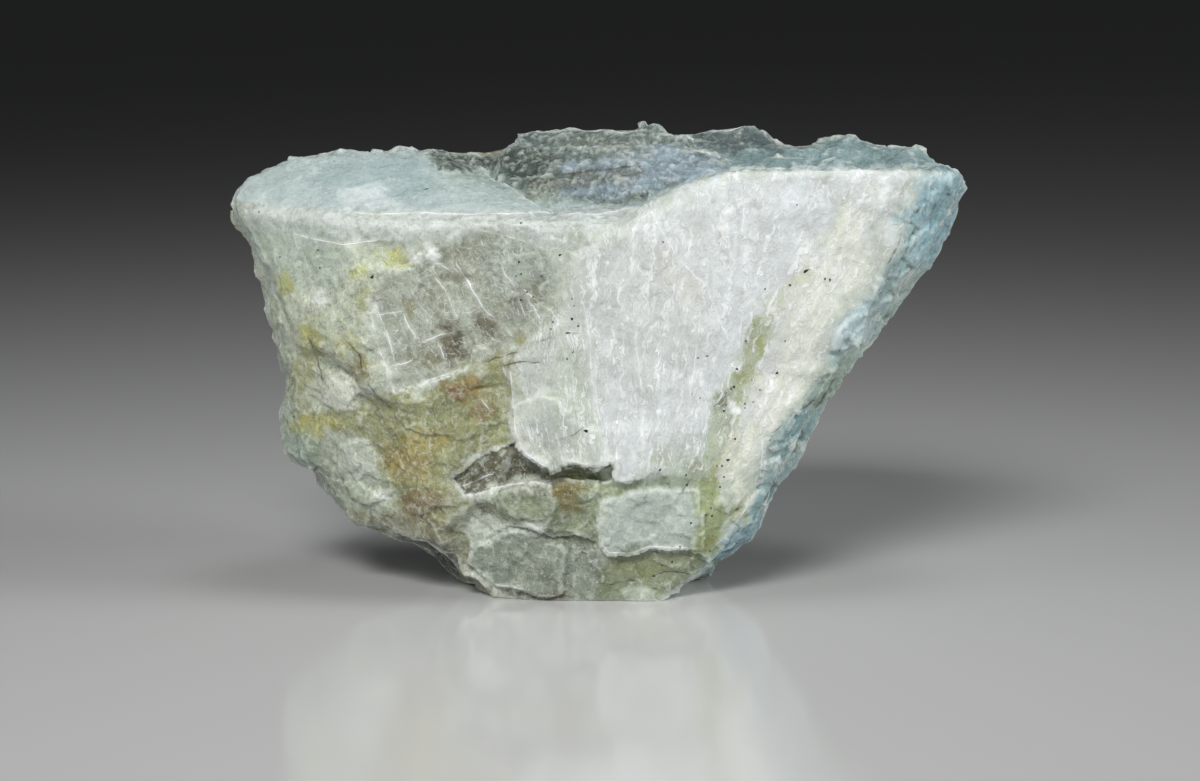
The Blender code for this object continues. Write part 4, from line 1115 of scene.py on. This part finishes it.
# White threads everywhere, and the named lines, of which the white stand proud; some white lines are painted
# highlights on edges, some dark ones painted shade in creases.
LINE_LOOKS = {
    # width in mm, strength, colour, and 1 where it stands proud or -1 where it is sunk
    "white": (0.10, 0.85, (0.88, 0.90, 0.90, 1), 1.0),
    "dark": (0.11, 0.8, (0.07, 0.07, 0.05, 1), -1.0),
}
thread_white = maths(tree, "MULTIPLY", in_milk.outputs["Threads"], 0.34)
colour = mixed(tree, thread_white, colour, MILK_WHITE)
line_height = 0.0
for name, kind, values in crack_families:
    width, strength, line_colour, sign = LINE_LOOKS[kind]
    line = grouped(lines_group, {"Values": kept(name, "Vector"), "Width": width}).outputs["Line"]
    colour = mixed(tree, maths(tree, "MULTIPLY", line, strength), colour, line_colour)
    line_height = maths(tree, "MULTIPLY_ADD", line, sign, line_height)
dot_share = maths(tree, "MULTIPLY", band_share, maths(tree, "MULTIPLY", in_pepper.outputs["Dots"], 0.6))
colour = mixed(tree, dot_share, colour, (0.08, 0.09, 0.06, 1))
tree.links.new(colour, surface.inputs["Base Color"])

# Grain, plates and fibres also tilt the face, which catches the light in small glints.
height = maths(tree, "MULTIPLY", in_milk.outputs["Dust"], 0.5)
height = maths(tree, "MULTIPLY_ADD", in_milk.outputs["Big grains"], 0.35, height)
height = maths(tree, "MULTIPLY_ADD", in_milk.outputs["Small grains"], 0.35, height)
fibre_height = maths(tree, "MULTIPLY", sheet_share, in_fibres.outputs["Fibres"])
height = maths(tree, "MULTIPLY_ADD", fibre_height, 0.5, height)
height = maths(tree, "MULTIPLY_ADD", line_height, 0.5, height)
bump = add(tree, "ShaderNodeBump", {"Height": height, "Strength": 0.7, "Distance": 0.16 * MM})
tree.links.new(bump.outputs[0], surface.inputs["Normal"])

gloss = ramp(tree, in_milk.outputs["Small grains"], 0.2, 0.8, 0.22, 0.5)
tree.links.new(gloss, surface.inputs["Roughness"])
surface.inputs["IOR"].default_value = 1.345
surface.inputs["Specular IOR Level"].default_value = 0.7
surface.inputs["Subsurface Weight"].default_value = 0.2
surface.inputs["Subsurface Radius"].default_value = (1.0, 0.95, 0.85)
surface.inputs["Subsurface Scale"].default_value = 1.2 * MM
stone_mesh.materials.clear()
stone_mesh.materials.append(material)


# Specks
# Black and red-brown grains of another mineral, a fifth of a millimetre wide, sit flush in
# the face. Each is a small low blob of mesh, set where a line of sight meets the stone.

BLACK_SPECKS = [
    # across, down, width, length, lean in degrees
    (372, 277, 3.6, 3.6, 0), (320, 268, 2.2, 2.2, 0), (318, 250, 2.0, 2.0, 0),
    (280, 257, 2.0, 2.0, 0), (259, 212, 2.0, 2.0, 0), (426, 189, 2.0, 5.5, 80),
    (334, 161, 1.6, 2.2, 0), (521, 223, 2.0, 3.0, 60), (560, 255, 2.0, 3.4, 70),
    (550, 191, 1.6, 2.2, 0), (552, 195, 1.4, 2.0, 0), (575, 189, 1.6, 2.0, 0),
    (572, 319, 2.4, 3.4, 150), (578, 326, 1.8, 2.2, 0), (806, 271, 3.0, 6.0, 70),
    (790, 285, 2.4, 2.8, 60), (825, 279, 2.4, 2.4, 0), (830, 280, 2.2, 3.4, 0),
    (765, 289, 1.8, 1.8, 0), (785, 341, 1.8, 1.8, 0), (752, 380, 1.6, 1.6, 0),
    (760, 390, 1.8, 1.8, 0), (724, 411, 2.4, 2.4, 0), (745, 404, 1.8, 1.8, 0),
    (745, 408, 1.6, 1.6, 0), (753, 402, 1.6, 1.6, 0), (770, 440, 1.8, 1.8, 0),
    (724, 477, 2.0, 2.0, 0), (720, 487, 2.2, 2.2, 0), (687, 485, 2.4, 2.4, 0),
    (686, 475, 2.2, 2.6, 0), (660, 470, 2.6, 3.2, 0), (711, 508, 2.0, 2.0, 0),
    (706, 515, 1.8, 2.8, 90), (712, 516, 2.6, 2.6, 0), (691, 523, 2.4, 2.4, 0),
    (680, 547, 2.0, 2.0, 0), (710, 551, 2.0, 2.0, 0), (672, 562, 2.4, 2.4, 0),
    (662, 565, 2.4, 2.4, 0), (654, 576, 2.4, 2.4, 0), (519, 262, 2.4, 2.4, 0),
    (521, 274, 1.8, 2.6, 60), (516, 276, 1.4, 2.0, 0), (527, 292, 1.8, 2.2, 0),
    (533, 297, 1.6, 2.0, 0), (521, 300, 2.2, 2.2, 0), (541, 276, 1.4, 1.8, 0),
    (553, 322, 2.0, 2.4, 0), (551, 329, 1.4, 1.8, 0), (567, 359, 1.8, 1.8, 0),
    (568, 333, 1.8, 5.0, 85), (573, 352, 1.4, 2.4, 70), (734, 387, 2.8, 3.2, 60),
    (731, 389, 2.0, 2.4, 0), (707, 356, 1.6, 3.0, 80), (698, 358, 1.4, 2.6, 80),
    (746, 341, 2.0, 2.4, 0), (737, 369, 2.4, 2.4, 0), (728, 460, 2.2, 4.4, 80),
    (737, 509, 2.6, 4.6, 90), (777, 373, 2.6, 3.0, 60), (586, 431, 2.8, 5.0, 110),
    (500, 491, 1.8, 3.0, 60), (545, 495, 2.0, 2.0, 0), (489, 543, 1.8, 1.8, 0),
    (700, 398, 1.4, 1.4, 0), (692, 394, 1.2, 1.2, 0), (726, 405, 1.6, 1.6, 0),
    (797, 205, 1.4, 1.8, 0), (663, 242, 1.4, 2.2, 130), (600, 170, 1.4, 2.0, 0),
    (609, 145, 1.6, 1.8, 0), (642, 196, 1.4, 3.4, 90),
]
RED_SPECKS = [
    (735, 439, 2.4, 2.4, 0), (722, 466, 2.2, 2.2, 0), (717, 466, 1.6, 1.8, 0),
    (572, 299, 1.4, 1.8, 0), (574, 306, 1.4, 1.6, 0), (486, 508, 1.8, 1.8, 0),
    (480, 505, 1.6, 1.6, 0), (713, 536, 1.6, 1.6, 0),
]
SPECK_SIDES = 9

stone_tree = BVHTree.FromPolygons([Vector(p) for p in points * MM], corners.tolist())


def met_by(across, down):
    """Where the line of sight through a pixel meets the stone, and the face's direction."""
    right = (across - MIDDLE[0]) * MM_PER_PIXEL / EYE_DISTANCE
    up = (MIDDLE[1] - down) * MM_PER_PIXEL / EYE_DISTANCE
    way = Vector(AHEAD + UPRIGHT * up) + Vector((right, 0, 0))
    hit, facing, index, distance = stone_tree.ray_cast(Vector(EYE * MM), way)
    return hit, facing


def specks(name, places_of_specks, colour, roughness):
    shape = bmesh.new()
    for number, (across, down, width, length, lean) in enumerate(places_of_specks):
        hit, facing = met_by(across, down)
        if hit is None:
            continue
        sideways = Vector((1, 0, 0)) - facing * facing.x
        sideways.normalize()
        upwards = facing.cross(sideways)
        turn = math.radians(lean)
        ring = []
        for side in range(SPECK_SIDES):
            angle = 2 * math.pi * side / SPECK_SIDES
            ragged_by = 1 + 0.22 * math.sin(angle * 3 + number) + 0.12 * math.sin(angle * 2 + number * 2)
            flat_x = math.sin(angle) * width * 0.5 * ragged_by
            flat_y = math.cos(angle) * length * 0.5 * ragged_by
            x = flat_x * math.cos(turn) + flat_y * math.sin(turn)
            y = flat_y * math.cos(turn) - flat_x * math.sin(turn)
            spot = hit + (sideways * x + upwards * y) * MM_PER_PIXEL * MM
            near, slope, index, distance = stone_tree.find_nearest(spot)
            ring.append(shape.verts.new(near + facing * 0.004 * MM))
        middle = shape.verts.new(hit + facing * 0.03 * MM)
        for first, second in zip(ring, ring[1:] + ring[:1]):
            shape.faces.new((first, second, middle))
    bmesh.ops.recalc_face_normals(shape, faces=shape.faces)
    mesh = bpy.data.meshes.new(name)
    shape.to_mesh(mesh)
    shape.free()
    obj = object_of(name, mesh)
    paint = bpy.data.materials.new(name)
    paint.use_nodes = True
    principled = paint.node_tree.nodes["Principled BSDF"]
    principled.inputs["Base Color"].default_value = colour
    principled.inputs["Roughness"].default_value = roughness
    mesh.materials.append(paint)
    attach(obj, "root")
    return obj


specks("black_specks", BLACK_SPECKS, (0.012, 0.014, 0.010, 1), 0.35)
specks("red_brown_specks", RED_SPECKS, (0.10, 0.035, 0.02, 1), 0.4)


# Floor and light
# A plain pale floor with a dull gloss, and soft studio lamps. The main lamp is in front of
# the stone and above it with a narrow beam, so the floor fades to dark behind the stone.

FLOOR_FRONT = -0.6
FLOOR_BACK = 1.6
FLOOR_HALF = 1.2

floor_mesh = bpy.data.meshes.new("floor")
floor_mesh.from_pydata(
    [(-FLOOR_HALF, FLOOR_FRONT, 0), (FLOOR_HALF, FLOOR_FRONT, 0), (FLOOR_HALF, FLOOR_BACK, 0),
     (-FLOOR_HALF, FLOOR_BACK, 0)],
    [], [(0, 1, 2, 3)],
)
floor = object_of("floor", floor_mesh)
floor_paint = bpy.data.materials.new("floor")
floor_paint.use_nodes = True
floor_surface = floor_paint.node_tree.nodes["Principled BSDF"]
floor_surface.inputs["Base Color"].default_value = (0.55, 0.55, 0.55, 1)
floor_surface.inputs["Roughness"].default_value = 0.12
floor_surface.inputs["IOR"].default_value = 1.45
floor_mesh.materials.append(floor_paint)

# place, where it points, width, height, watts, colour, spread in degrees
LAMPS = {
    "main": ((-0.10, -0.48, 0.38), (0.0, -0.07, 0.0), 0.24, 0.18, 0.27, (1.0, 0.995, 0.98), 42),
    "left": ((-0.50, -0.22, 0.20), (0.0, -0.02, 0.02), 0.24, 0.24, 0.03, (1.0, 1.0, 0.98), 40),
    "right": ((0.50, -0.12, 0.22), (0.0, -0.02, 0.02), 0.24, 0.24, 0.12, (0.98, 1.0, 1.0), 40),
    "top": ((0.05, -0.02, 0.55), (0.0, 0.0, 0.03), 0.20, 0.20, 0.03, (0.94, 0.98, 1.0), 30),
}
for name, (place_of_lamp, target, width, height_of_lamp, watts, colour_of_lamp, spread) in LAMPS.items():
    lamp = bpy.data.lights.new(name, "AREA")
    lamp.shape = "RECTANGLE"
    lamp.size = width
    lamp.size_y = height_of_lamp
    lamp.energy = watts
    lamp.color = colour_of_lamp
    lamp.spread = math.radians(spread)
    lamp_object = bpy.data.objects.new(name, lamp)
    lamp_object.location = place_of_lamp
    aim = Vector(target) - Vector(place_of_lamp)
    lamp_object.rotation_euler = aim.to_track_quat("-Z", "Y").to_euler()
    bpy.context.scene.collection.objects.link(lamp_object)

world = bpy.data.worlds.new("studio")
world.use_nodes = True
world.node_tree.nodes["Background"].inputs["Color"].default_value = (0.5, 0.51, 0.52, 1)
world.node_tree.nodes["Background"].inputs["Strength"].default_value = 0.03
bpy.context.scene.world = world
